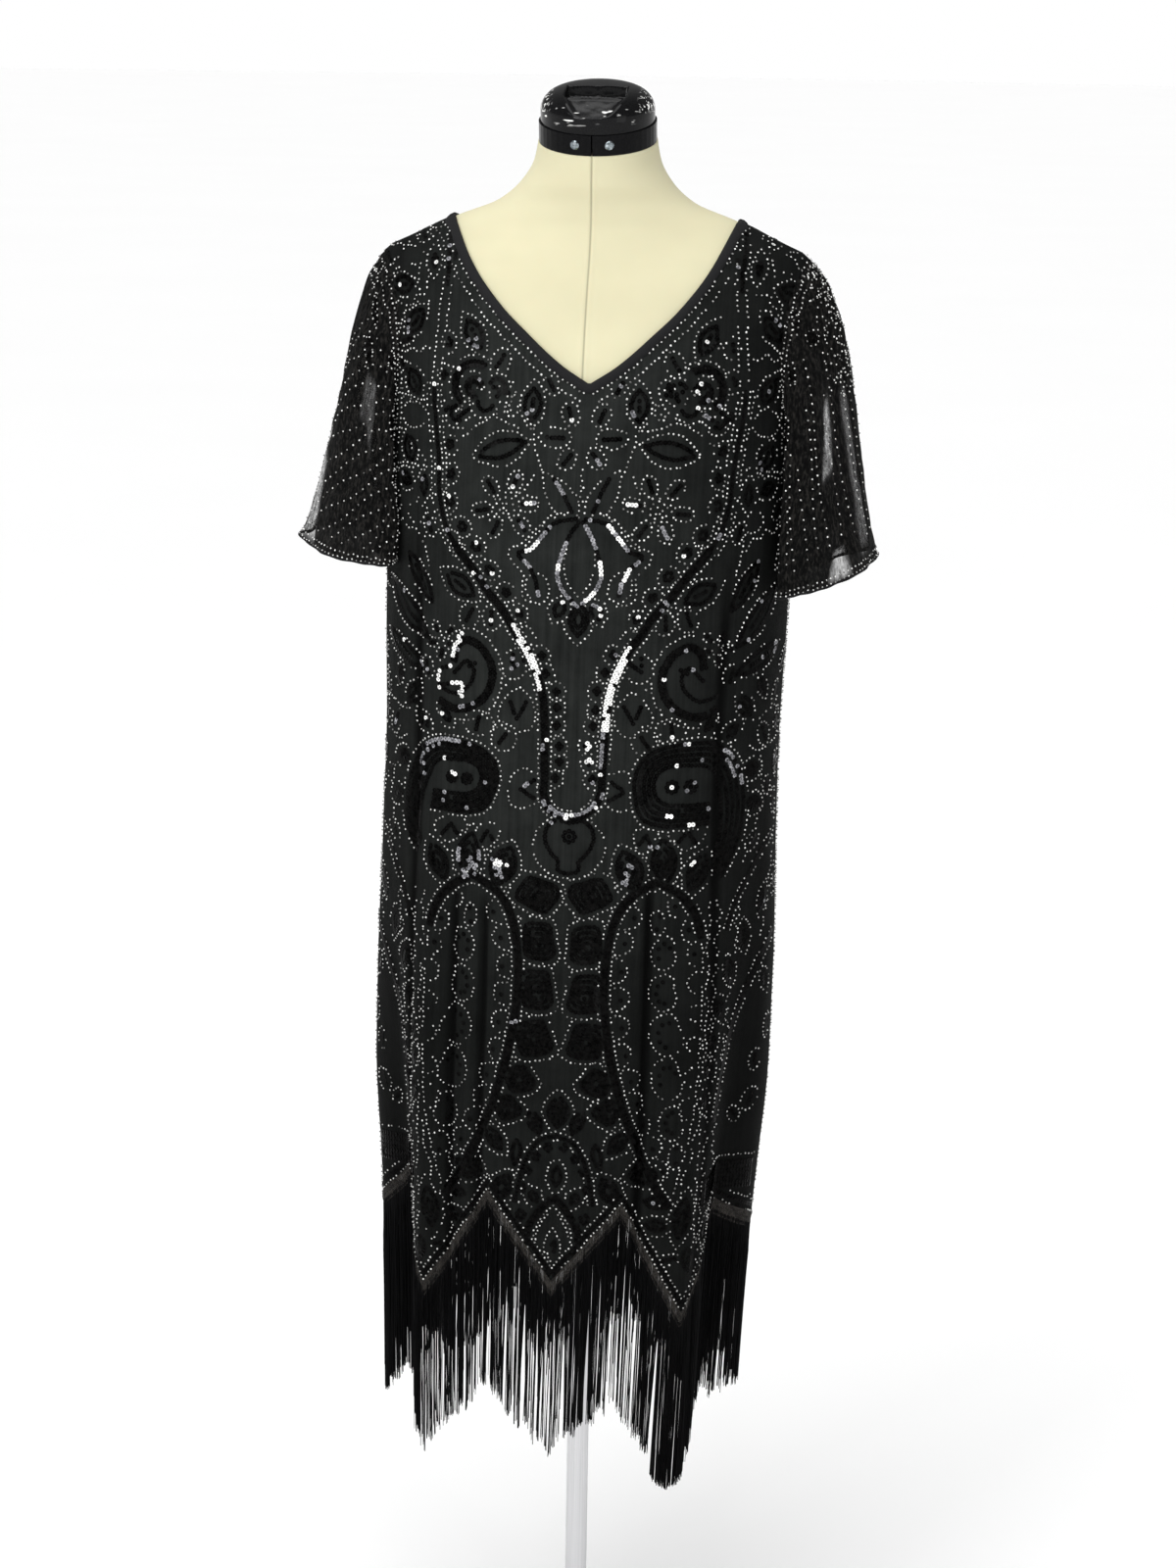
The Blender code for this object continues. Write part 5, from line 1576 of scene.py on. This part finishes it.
    def beadwork(self, seed):
        """The sleeve's beads and its black sequins."""
        beads, sequins, random = self.marks(seed)
        made = []
        cells = set()
        kinds = (
            ("sequins", sequins, 0.0030, SEQUIN_RADIUS, 0.0007, SEQUIN_POINTS, SEQUIN_FACES),
            ("beads", beads, 0.0026, 0.90 * BEAD_RADIUS, 0.72 * BEAD_RADIUS, BEAD_POINTS, BEAD_FACES),
        )
        for word, places, gap, radius, lift, points, faces in kinds:
            centre, normal = self.at(places[:, 0], places[:, 1])
            keep = np.zeros(len(centre), bool)
            for index, key in enumerate(map(tuple, np.floor(centre / gap).astype(int))):
                keep[index] = (word, key) not in cells
                cells.add((word, key))
            centre, normal = centre[keep], normal[keep]
            scale = radius * random.uniform(0.90, 1.12, len(centre))
            basis = frames(normal, random.normal(0.0, 1.0, centre.shape))
            mesh = scatter(f"{self.name}_{word}", points, faces, centre + normal * lift, basis, scale)
            made.append(link(mesh.name, mesh))
        return made


# Dress form

def form_table():
    upper = [
        (z - FORM_CLEARANCE, half_width - FORM_CLEARANCE, front - FORM_DEPTH_CLEARANCE,
         back - FORM_DEPTH_CLEARANCE, power)
        for z, half_width, front, back, power in SECTIONS if z > 1.39
    ]
    return np.array(FORM_LOWER + tuple(upper) + FORM_NECK)


def build_torso():
    """The form's cover with a fine seam groove down its front and back."""
    table = form_table()
    coarse = np.linspace(FORM_FOOT_Z, FORM_FINE_Z, 34, endpoint=False)
    z = np.concatenate((coarse, np.linspace(FORM_FINE_Z, FORM_TOP_Z, 84)))
    left = np.linspace(-1.0, -0.06, 34, endpoint=False)
    place = np.concatenate((left, np.linspace(-0.06, 0.06, 25), -left[::-1]))
    rings = []
    for facing in (FRONT, BACK):
        points, length = section_rings(table, facing, z, place)
        groove = -0.0007 * np.exp(-((place[None] * length[:, None]) / 0.0011) ** 2)
        ridge = 0.0003 * np.exp(-(((np.abs(place[None]) * length[:, None]) - 0.0030) / 0.0016) ** 2)
        points[..., 1] += facing * (groove + ridge)
        rings.append(points if facing == FRONT else points[:, ::-1])
    whole = np.concatenate((rings[0][:, :-1], rings[1][:, :-1]), axis=1)
    lean = ease((whole[..., 2] - NECK_TILT_START_Z) / (FORM_TOP_Z - NECK_TILT_START_Z))
    whole[..., 2] += math.tan(COLLAR_TILT) * whole[..., 1] * lean
    count = whole.shape[1]
    faces = grid_faces(len(z), count, wrap=True)
    points = whole.reshape(-1, 3)
    ends = []
    for row, flip in ((0, True), (len(z) - 1, False)):
        middle = len(points)
        points = np.vstack((points, whole[row].mean(0)))
        k = np.arange(0, count, 2)
        fan = row * count + np.stack((k, (k + 1) % count, (k + 2) % count), axis=1)
        fan = np.hstack((fan, np.full((len(k), 1), middle)))
        ends.append(fan[:, ::-1] if flip else fan)
    uv = np.stack((points[:, 0], points[:, 2]), axis=1)
    mesh = mesh_from("torso_cover", points, np.vstack([faces] + ends), uv)
    return link(mesh.name, mesh)


def build_cap():
    """Moulded cap: a dome with a sunk finger grip and a scooped facet in front of it."""
    radius = COLLAR_RADIUS - 0.0018
    segments, rings = 144, 84
    turn = np.linspace(0.0, 2.0 * math.pi, segments, endpoint=False)
    part = np.linspace(0.0, 1.0, rings)[1:]
    reach = radius * np.sin(0.5 * math.pi * part) ** 0.92
    dome = CAP_SKIRT + (CAP_HEIGHT - CAP_SKIRT) * np.clip(1.0 - (reach / radius) ** 4.6, 0.0, 1.0) ** 0.50
    x = reach[:, None] * np.sin(turn)[None]
    y = -reach[:, None] * np.cos(turn)[None]
    z = np.repeat(dome[:, None], segments, axis=1)

    def box(value, half, soft):
        return ease((half - np.abs(value)) / soft + 0.5)

    across = 0.0285 - 0.45 * np.clip(-y - 0.022, 0.0, 0.03)
    grip = box(x, 0.0275, 0.0030) * box(y + 0.0100, 0.0140, 0.0030)
    z = z - GRIP_DEPTH * grip
    facet_z = CAP_HEIGHT - 0.0036 - 0.42 * (-y - 0.024)
    inside = box(x, np.maximum(across, 0.004), 0.0060) * ease((-y - 0.0240) / 0.0030)
    z = z - inside * np.maximum(0.0, z - facet_z)
    skirt_z = np.linspace(CAP_SKIRT, 0.0, 5)[1:]
    rim_x, rim_y = radius * np.sin(turn), -radius * np.cos(turn)
    skirt = np.stack([np.stack((rim_x, rim_y, np.full(segments, h)), axis=1) for h in skirt_z])
    points = np.concatenate((np.stack((x, y, z), axis=2), skirt)).reshape(-1, 3)
    faces = grid_faces(rings - 1 + len(skirt_z), segments, wrap=True)
    middle = len(points)
    points = np.vstack((points, (0.0, 0.0, z[0].mean())))
    k = np.arange(0, segments, 2)
    fan = np.stack((np.full(len(k), middle), (k + 2) % segments, k + 1, k), axis=1)
    mesh = mesh_from("cap_shell", points, np.vstack((faces[:, ::-1], fan[:, ::-1])))
    mesh.transform(collar_matrix() @ Matrix.Translation((0.0, 0.0, COLLAR_HEIGHT + 0.0003)))
    return link(mesh.name, mesh)


def collar_matrix():
    return Matrix.Translation((0.0, 0.0, COLLAR_Z)) @ Matrix.Rotation(COLLAR_TILT, 4, "X")


# Materials

class Shader:
    """Short way to build a node material."""

    def __init__(self, name):
        self.material = bpy.data.materials.new(name)
        self.material.use_nodes = True
        self.tree = self.material.node_tree
        self.tree.nodes.clear()
        self.out = self.node("ShaderNodeOutputMaterial")

    def node(self, kind, **values):
        made = self.tree.nodes.new(kind)
        for key, value in values.items():
            if key in made.inputs:
                made.inputs[key].default_value = value
            else:
                setattr(made, key, value)
        return made

    def join(self, source, target):
        self.tree.links.new(source, target)

    def coordinates(self, kind="Object", scale=(1.0, 1.0, 1.0)):
        source = self.node("ShaderNodeTexCoord")
        mapping = self.node("ShaderNodeMapping", Scale=scale)
        self.join(source.outputs[kind], mapping.inputs["Vector"])
        return mapping.outputs["Vector"]

    def noise(self, vector, scale, detail=3.0, roughness=0.5):
        made = self.node("ShaderNodeTexNoise", Scale=scale, Detail=detail, Roughness=roughness)
        self.join(vector, made.inputs["Vector"])
        return made.outputs["Fac"]

    def math(self, operation, first, second=None):
        made = self.node("ShaderNodeMath", operation=operation)
        for index, value in enumerate((first, second)):
            if value is None:
                continue
            if isinstance(value, (int, float)):
                made.inputs[index].default_value = value
            else:
                self.join(value, made.inputs[index])
        return made.outputs[0]

    def ramp(self, factor, stops):
        made = self.node("ShaderNodeValToRGB")
        elements = made.color_ramp.elements
        while len(elements) < len(stops):
            elements.new(0.5)
        for element, (position, colour) in zip(elements, stops):
            element.position = position
            element.color = (*colour, 1.0)
        self.join(factor, made.inputs["Fac"])
        return made.outputs["Color"]

    def spread(self, factor, low, high, bottom=0.3, top=0.7):
        made = self.node("ShaderNodeMapRange")
        for name, value in (("From Min", bottom), ("From Max", top), ("To Min", low), ("To Max", high)):
            made.inputs[name].default_value = value
        self.join(factor, made.inputs["Value"])
        return made.outputs["Result"]

    def times(self, colour, factor):
        made = self.node("ShaderNodeMixRGB", blend_type="MULTIPLY", Fac=1.0)
        self.join(colour, made.inputs["Color1"])
        self.join(factor, made.inputs["Color2"])
        return made.outputs["Color"]

    def axes(self, vector):
        parts = self.node("ShaderNodeSeparateXYZ")
        self.join(vector, parts.inputs["Vector"])
        return parts.outputs

    def bump(self, height, strength, distance, under=None):
        made = self.node("ShaderNodeBump", Strength=strength, Distance=distance)
        self.join(height, made.inputs["Height"])
        if under is not None:
            self.join(under, made.inputs["Normal"])
        return made.outputs["Normal"]

    def surface(self, colour, roughness, normal=None, **values):
        made = self.node("ShaderNodeBsdfPrincipled")
        for key, value in values.items():
            made.inputs[key.replace("_", " ")].default_value = value
        for name, value in (("Base Color", colour), ("Roughness", roughness)):
            if isinstance(value, (int, float, tuple)):
                made.inputs[name].default_value = (*value, 1.0) if isinstance(value, tuple) else value
            else:
                self.join(value, made.inputs[name])
        if normal is not None:
            self.join(normal, made.inputs["Normal"])
        return made.outputs["BSDF"]

    def seen_through(self, surface, opacity):
        clear = self.node("ShaderNodeBsdfTransparent")
        mixed = self.node("ShaderNodeMixShader")
        if isinstance(opacity, (int, float)):
            mixed.inputs["Fac"].default_value = opacity
        else:
            self.join(opacity, mixed.inputs["Fac"])
        self.join(clear.outputs["BSDF"], mixed.inputs[1])
        self.join(surface, mixed.inputs[2])
        return mixed.outputs["Shader"]

    def done(self, surface):
        self.join(surface, self.out.inputs["Surface"])
        return self.material


def weave(shader, vector, pitch):
    """Height of a plain weave: threads over and under one another."""
    both = []
    for direction in ("X", "Y"):
        wave = shader.node("ShaderNodeTexWave", wave_type="BANDS", bands_direction=direction,
                           Scale=0.314 / pitch, Distortion=0.6, Detail=1.0)
        wave.inputs["Detail Scale"].default_value = 2.0
        shader.join(vector, wave.inputs["Vector"])
        both.append(wave.outputs["Fac"])
    return shader.math("MAXIMUM", both[0], both[1])


def cloth_material():
    shader = Shader("black georgette")
    uv = shader.coordinates("UV")
    place = shader.coordinates("Object")
    threads = weave(shader, uv, 0.0006)
    cloudy = shader.noise(place, 34.0, 4.0, 0.6)
    fine = shader.noise(place, 900.0, 2.0, 0.7)
    streaks = shader.noise(shader.coordinates("UV", (230.0, 7.0, 1.0)), 1.0, 3.0, 0.6)
    mottled = shader.math("ADD", shader.math("MULTIPLY", cloudy, 0.5), shader.math("MULTIPLY", streaks, 0.5))
    tone = shader.ramp(mottled, ((0.34, (0.0075, 0.0084, 0.0079)), (0.66, (0.0182, 0.0198, 0.0188))))
    tone = shader.times(tone, shader.spread(threads, 0.75, 1.11, 0.20, 0.85))
    # Painted shade: darker down in the creases, at the sides and to the viewer's right; darker towards the
    # hem and lighter on the bodice
    axes = shader.axes(place)
    tone = shader.times(tone, shader.spread(axes["X"], 1.0, 0.68, 0.01, 0.12))
    crease_shade = shader.node("ShaderNodeAttribute", attribute_name="crease_shade").outputs["Fac"]
    tone = shader.times(tone, shader.spread(crease_shade, 1.0, 0.16, 0.0, 1.0))
    tone = shader.times(tone, shader.spread(axes["Z"], 0.56, 1.18, 0.78, 1.04))
    tone = shader.times(tone, shader.spread(shader.math("ABSOLUTE", axes["X"]), 1.0, 0.45, 0.085, 0.175))
    normal = shader.bump(threads, 0.45, 0.0003, shader.bump(fine, 0.30, 0.0004))
    surface = shader.surface(tone, 0.85, normal, Sheen_Weight=0.008, Sheen_Roughness=0.5,
                             Specular_IOR_Level=0.05)
    return shader.done(surface)


def mesh_material():
    """Sheer crinkled mesh: an even open weave with closer streaks."""
    shader = Shader("black sheer mesh")
    uv = shader.coordinates("UV")
    streaks = shader.noise(shader.coordinates("UV", (170.0, 16.0, 1.0)), 1.0, 4.0, 0.65)
    crinkle = shader.noise(shader.coordinates("Object", (430.0, 430.0, 150.0)), 1.0, 3.0, 0.65)
    threads = weave(shader, uv, 0.0009)
    openness = shader.node("ShaderNodeAttribute", attribute_name="openness").outputs["Fac"]
    thin = shader.math("MULTIPLY", openness, shader.spread(streaks, 0.98, 0.42, 0.40, 0.62))
    thin = shader.math("MULTIPLY", thin, shader.spread(crinkle, 1.0, 0.50, 0.42, 0.60))
    opacity = shader.math("SUBTRACT", shader.spread(streaks, 0.984, 1.00, 0.34, 0.56), thin)
    opacity = shader.math("ADD", opacity, shader.spread(threads, -0.01, 0.01, 0.0, 1.0))
    opacity = shader.math("MINIMUM", shader.math("MAXIMUM", opacity, 0.10), 0.998)
    # Painted sheen: the mesh is lighter where the crinkle stands high
    tone = shader.ramp(crinkle, ((0.36, (0.0005, 0.0005, 0.0005)), (0.50, (0.0024, 0.0025, 0.0024)),
                                 (0.64, (0.0150, 0.0140, 0.0128))))
    surface = shader.surface(tone, 0.80, shader.bump(crinkle, 1.0, 0.0012), Sheen_Weight=0.010,
                             Specular_IOR_Level=0.06)
    return shader.done(shader.seen_through(surface, opacity))


def tape_material():
    shader = Shader("sheer fringe tape")
    uv = shader.coordinates("UV")
    threads = weave(shader, uv, 0.0009)
    soft = shader.noise(shader.coordinates("Object"), 160.0, 3.0)
    tone = shader.ramp(soft, ((0.30, (0.010, 0.0092, 0.0085)), (0.70, (0.030, 0.027, 0.024))))
    surface = shader.surface(tone, 0.8, shader.bump(threads, 0.5, 0.0004), Specular_IOR_Level=0.12)
    return shader.done(shader.seen_through(surface, shader.spread(threads, 0.78, 0.97, 0.1, 0.9)))


def binding_material():
    shader = Shader("black binding")
    uv = shader.coordinates("UV")
    ribs = shader.noise(shader.coordinates("UV"), 1400.0, 2.0)
    threads = weave(shader, uv, 0.0007)
    tone = shader.ramp(threads, ((0.2, (0.004, 0.004, 0.0045)), (0.9, (0.012, 0.012, 0.013))))
    normal = shader.bump(threads, 0.5, 0.0003, shader.bump(ribs, 0.3, 0.0004))
    return shader.done(shader.surface(tone, 0.7, normal, Sheen_Weight=0.03, Specular_IOR_Level=0.12))


def fringe_material():
    shader = Shader("black rayon fringe")
    strand = shader.noise(shader.coordinates("Object", (900.0, 900.0, 14.0)), 1.0, 2.0)
    twist = shader.noise(shader.coordinates("Object", (300.0, 300.0, 1400.0)), 1.0, 2.0)
    tone = shader.ramp(strand, ((0.25, (0.0010, 0.0010, 0.0012)), (0.75, (0.0060, 0.0060, 0.0064))))
    return shader.done(shader.surface(tone, 0.55, shader.bump(twist, 0.4, 0.0003), Specular_IOR_Level=0.04))


def bead_material():
    shader = Shader("silver-lined glass beads")
    place = shader.coordinates("Object")
    speck = shader.noise(place, 330.0, 1.0, 0.5)
    fine = shader.noise(place, 2600.0, 1.0)
    stops = ((0.38, (0.13, 0.13, 0.125)), (0.49, (0.55, 0.55, 0.53)), (0.60, (1.0, 1.0, 0.98)))
    tone = shader.ramp(speck, stops)
    # Painted shade: darker on the skirt
    axes = shader.axes(place)
    tone = shader.times(tone, shader.spread(axes["Z"], 0.80, 1.0, 0.95, 1.15))
    rough = shader.spread(fine, 0.14, 0.30)
    surface = shader.surface(tone, rough, shader.bump(fine, 0.2, 0.0003), Metallic=0.15, Coat_Weight=0.4,
                             Coat_Roughness=0.08)
    return shader.done(surface)


def sequin_material(name, grain, stops, roughness, **values):
    """Sequins whose tone changes from one to the next."""
    shader = Shader(name)
    speck = shader.noise(shader.coordinates("Object"), grain, 2.0, 0.6)
    fine = shader.noise(shader.coordinates("Object"), 1800.0, 2.0)
    tone = shader.ramp(speck, stops)
    rough = shader.spread(fine, *roughness)
    return shader.done(shader.surface(tone, rough, shader.bump(fine, 0.05, 0.0002), **values))


def black_sequins():
    stops = ((0.36, (0.0003, 0.0003, 0.0003)), (0.68, (0.0048, 0.0046, 0.0045)))
    return sequin_material("black sequins", 260.0, stops, (0.12, 0.24), Specular_IOR_Level=0.022)


def painted_sheen_sequins():
    """Grey sequins: a painted sheen."""
    stops = ((0.32, (0.050, 0.050, 0.054)), (0.52, (0.20, 0.20, 0.215)), (0.68, (0.42, 0.42, 0.44)))
    return sequin_material("sequins with painted sheen", 330.0, stops, (0.16, 0.30), Specular_IOR_Level=0.20)


def painted_glint_sequins():
    """Near-white sequins: a painted glint."""
    stops = ((0.34, (0.34, 0.34, 0.34)), (0.46, (0.98, 0.98, 0.96)))
    return sequin_material("sequins with painted glints", 420.0, stops, (0.10, 0.22), Metallic=0.35)


def jersey_material():
    """Smooth stretched knit: fine upright ribs, a faint tone change and some nap."""
    shader = Shader("cream jersey")
    place = shader.coordinates("Object")
    uv = shader.coordinates("UV")
    cloudy = shader.noise(place, 9.0, 3.0)
    ribs = weave(shader, uv, 0.0008)
    nap = shader.noise(place, 1500.0, 2.0)
    tone = shader.ramp(cloudy, ((0.30, (0.588, 0.552, 0.374)), (0.70, (0.650, 0.614, 0.420))))
    # Painted shade: darker along the seam groove down the middle
    beside = shader.math("ABSOLUTE", shader.axes(uv)["X"])
    tone = shader.times(tone, shader.spread(beside, 0.62, 1.0, 0.0004, 0.0012))
    normal = shader.bump(ribs, 0.22, 0.0003, shader.bump(nap, 0.15, 0.0003))
    surface = shader.surface(tone, 0.85, normal, Sheen_Weight=0.06, Subsurface_Weight=0.06,
                             Specular_IOR_Level=0.15)
    return shader.done(surface)


def gloss_material(name, shine, painted_highlights):
    shader = Shader(name)
    place = shader.coordinates("Object")
    flow = shader.noise(place, 22.0, 3.0)
    dust = shader.noise(place, 1300.0, 2.0, 0.8)
    tone = shader.ramp(dust, ((0.45, (0.003, 0.003, 0.0033)), (0.78, (0.014, 0.014, 0.015))))
    # Painted highlights: near-white spots on the cap's flanks and a few short ones low on its front
    axes = shader.axes(place)
    flank = shader.spread(shader.math("ABSOLUTE", axes["X"]), 0.0, 1.0, 0.038, 0.048)
    flank = shader.math("MULTIPLY", flank, shader.spread(axes["Z"], 0.0, 1.0, 1.628, 1.632))
    round_highlights = shader.spread(shader.noise(place, 300.0, 1.0), 0.0, 1.0, 0.58, 0.64)
    painted_highlight_mask = shader.math("MULTIPLY", flank, round_highlights)
    long = shader.noise(shader.coordinates("Object", (70.0, 70.0, 330.0)), 1.0, 1.0)
    low = shader.math("MULTIPLY", shader.spread(axes["Z"], 0.0, 1.0, 1.616, 1.620),
                      shader.spread(axes["Z"], 1.0, 0.0, 1.632, 1.636))
    long_highlights = shader.math("MULTIPLY", low, shader.spread(long, 0.0, 1.0, 0.66, 0.71))
    painted_highlight_mask = shader.math("MAXIMUM", painted_highlight_mask, long_highlights)
    mixed = shader.node("ShaderNodeMixRGB", Color2=(0.95, 0.95, 0.93, 1.0))
    shader.join(shader.math("MULTIPLY", painted_highlight_mask, painted_highlights), mixed.inputs["Fac"])
    shader.join(tone, mixed.inputs["Color1"])
    normal = shader.bump(flow, 0.35, 0.0030, shader.bump(dust, 0.05, 0.0002))
    return shader.done(shader.surface(mixed.outputs["Color"], shader.spread(flow, 0.05, 0.12), normal,
                                      Coat_Weight=0.3 * shine, Coat_Roughness=0.05, Specular_IOR_Level=shine))


def metal_material(name, tones, roughness, stretch):
    shader = Shader(name)
    brushed = shader.noise(shader.coordinates("Object", stretch), 1.0, 3.0, 0.7)
    tone = shader.ramp(brushed, tuple(zip((0.3, 0.7), tones)))
    normal = shader.bump(brushed, 0.08, 0.0003)
    rough = shader.spread(brushed, *roughness)
    return shader.done(shader.surface(tone, rough, normal, Metallic=1.0))


def rivet_material():
    tones = ((0.06, 0.08, 0.09), (0.38, 0.42, 0.44))
    return metal_material("dull silver rivet", tones, (0.14, 0.28), (420.0, 420.0, 420.0))


def pole_material():
    tones = ((0.52, 0.52, 0.53), (0.66, 0.66, 0.67))
    return metal_material("satin steel", tones, (0.26, 0.38), (900.0, 900.0, 6.0))


def paint_material():
    shader = Shader("pale satin paint")
    place = shader.coordinates("Object")
    peel = shader.noise(place, 380.0, 2.0)
    wear = shader.noise(place, 14.0, 4.0, 0.65)
    tone = shader.ramp(wear, ((0.30, (0.58, 0.58, 0.565)), (0.70, (0.66, 0.66, 0.65))))
    return shader.done(shader.surface(tone, shader.spread(wear, 0.30, 0.45), shader.bump(peel, 0.12, 0.0004)))


def floor_material():
    shader = Shader("plain pale floor")
    soft = shader.noise(shader.coordinates("Object"), 0.8, 2.0)
    tone = shader.ramp(soft, ((0.3, (0.988, 0.988, 0.988)), (0.7, (0.998, 0.998, 0.998))))
    return shader.done(shader.surface(tone, 0.9, None, Specular_IOR_Level=0.1))


# Light and camera

def build_floor():
    turn = np.linspace(0.0, 2.0 * math.pi, 96, endpoint=False)
    work = bmesh.new()
    rim = [(FLOOR_RADIUS * math.cos(angle), FLOOR_RADIUS * math.sin(angle), 0.0) for angle in turn]
    work.faces.new([work.verts.new(point) for point in rim])
    mesh = bpy.data.meshes.new("floor")
    work.to_mesh(mesh)
    work.free()
    floor = link("floor", mesh)
    mesh.materials.append(floor_material())


def area_light(name, place, aim, size, power):
    data = bpy.data.lights.new(name, "AREA")
    data.shape = "RECTANGLE"
    data.size, data.size_y = size
    data.energy = power
    lamp = bpy.data.objects.new(name, data)
    lamp.location = place
    lamp.rotation_euler = (Vector(aim) - Vector(place)).to_track_quat("-Z", "Y").to_euler()
    bpy.context.scene.collection.objects.link(lamp)


def build_world():
    """White backdrop light, dimmer overhead."""
    world = bpy.data.worlds.new("studio")
    world.use_nodes = True
    tree = world.node_tree
    background = tree.nodes["Background"]
    background.inputs["Color"].default_value = (1.0, 1.0, 1.0, 1.0)
    ways = tree.nodes.new("ShaderNodeTexCoord")
    parts = tree.nodes.new("ShaderNodeSeparateXYZ")
    fade = tree.nodes.new("ShaderNodeMapRange")
    for name, value in (("From Min", 0.05), ("From Max", 0.20), ("To Min", 1.00), ("To Max", WORLD_LIGHT)):
        fade.inputs[name].default_value = value
    tree.links.new(ways.outputs["Generated"], parts.inputs["Vector"])
    tree.links.new(parts.outputs["Z"], fade.inputs["Value"])
    tree.links.new(fade.outputs["Result"], background.inputs["Strength"])
    bpy.context.scene.world = world


def build_light():
    sun = bpy.data.lights.new("overhead", "SUN")
    sun.energy = 2.55
    sun.angle = math.radians(60.0)
    lamp = bpy.data.objects.new("overhead", sun)
    lamp.rotation_euler = (math.radians(16.0), 0.0, math.radians(-24.0))
    bpy.context.scene.collection.objects.link(lamp)
    area_light("key", (-1.1, -1.8, 2.2), (0.0, 0.0, 1.35), (0.8, 0.8), 18.0)
    area_light("fill", (2.6, -2.0, 1.6), (0.0, 0.0, 1.1), (1.2, 2.0), 6.5)
    area_light("glint", (0.30, -2.90, 0.50), (0.0, 0.0, 1.15), (0.34, 0.34), 3.0)
    lamps = (("left", (-1.9, -1.7, 2.9)), ("middle", (0.3, -2.3, 3.0)), ("right", (1.7, -1.6, 2.7)))
    for word, place in lamps:
        area_light("lamp " + word, place, (0.0, 0.0, 1.6), (0.14, 0.14), 2.5)


def build_camera():
    yaw, pitch, roll = math.radians(6.0), math.radians(14.5), math.radians(0.9)
    forward = Vector((-math.sin(yaw) * math.cos(pitch), math.cos(yaw) * math.cos(pitch), -math.sin(pitch)))
    level = Vector((math.cos(yaw), math.sin(yaw), 0.0))
    up = level.cross(forward)
    right = level * math.cos(roll) + up * math.sin(roll)
    up = up * math.cos(roll) - level * math.sin(roll)
    data = bpy.data.cameras.new("camera")
    data.lens = 70.9
    data.clip_end = 200.0
    camera = bpy.data.objects.new("camera", data)
    axes = Matrix((right, up, -forward)).transposed().to_4x4()
    place = Vector((CAMERA_DISTANCE * math.sin(yaw), -CAMERA_DISTANCE * math.cos(yaw), CAMERA_Z))
    camera.matrix_world = Matrix.Translation(place) @ axes
    bpy.context.scene.collection.objects.link(camera)
    bpy.context.scene.camera = camera


def plain_colours():
    """Photographic contrast: white stays white and black stays black."""
    bpy.context.scene.view_settings.view_transform = "Standard"
    bpy.context.scene.view_settings.look = "None"


def paint(made, material):
    for piece in made:
        piece.data.materials.clear()
        piece.data.materials.append(material)


def repaint(nodes, material):
    """New material on CAD nodes that stay."""
    for node in nodes:
        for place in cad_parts[node].material_slots:
            place.material = material


def build_side(facing, looks):
    """One panel with its binding, tape and fringe, its beads and its sequins."""
    word = WORD[facing]
    panel, edge = build_panel(facing), build_binding(facing)
    header, fringe = build_tape(facing), build_fringe(facing, FRINGE_SEED[facing])
    stitched = lay_work(facing, WORK_SEED[facing], looks)
    for piece, look in ((panel, "cloth"), (edge, "binding"), (header, "tape"), (fringe, "fringe")):
        paint([piece], looks[look])
    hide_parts("dress_" + word)
    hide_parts("neck_binding_" + word)
    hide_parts("fringe_tape_" + word)
    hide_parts("fringe_" + word)
    return [panel, edge, header, fringe] + stitched


def build_sleeve(name, looks):
    """One sleeve with its rolled hem, its beads and its sequins."""
    sleeve = Sleeve(name)
    tube, hem = sleeve.build(), sleeve.hem()
    black, dots = sleeve.beadwork(SLEEVE_SEED[name])
    for piece, look in ((tube, "sheer"), (hem, "binding"), (black, "sequins"), (dots, "beads")):
        paint([piece], looks[look])
    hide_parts(name)
    return [tube, hem, black, dots]


def build_form():
    """Torso and cap, and new materials for the solids of the form and stand that stay."""
    torso, cap = build_torso(), build_cap()
    paint([torso], jersey_material())
    # The cap's material gets painted highlights; the collar's gets none
    paint([cap], gloss_material("glossy black cap", 0.13, 1.0))
    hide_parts("form_torso")
    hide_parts("form_cap")
    repaint(("form_collar_left", "form_collar_right"), gloss_material("glossy black collar", 0.05, 0.0))
    repaint([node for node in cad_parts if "rivet" in node], rivet_material())
    repaint(("stand_pole",), pole_material())
    repaint(("stand_base", "stand_hub"), paint_material())
    return torso, cap


def main():
    looks = {
        "beads": bead_material(), "sequins": black_sequins(), "painted_sheen": painted_sheen_sequins(), "painted_glint": painted_glint_sequins(),
        "cloth": cloth_material(), "binding": binding_material(), "tape": tape_material(),
        "fringe": fringe_material(), "sheer": mesh_material(),
    }
    torso, cap = build_form()
    riders = [torso, cap]
    for facing in (FRONT, BACK):
        riders += build_side(facing, looks)
    for name in SLEEVES:
        riders += build_sleeve(name, looks)
    for piece in riders:
        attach(piece, "root")
    build_floor()
    build_world()
    build_light()
    build_camera()
    plain_colours()


main()
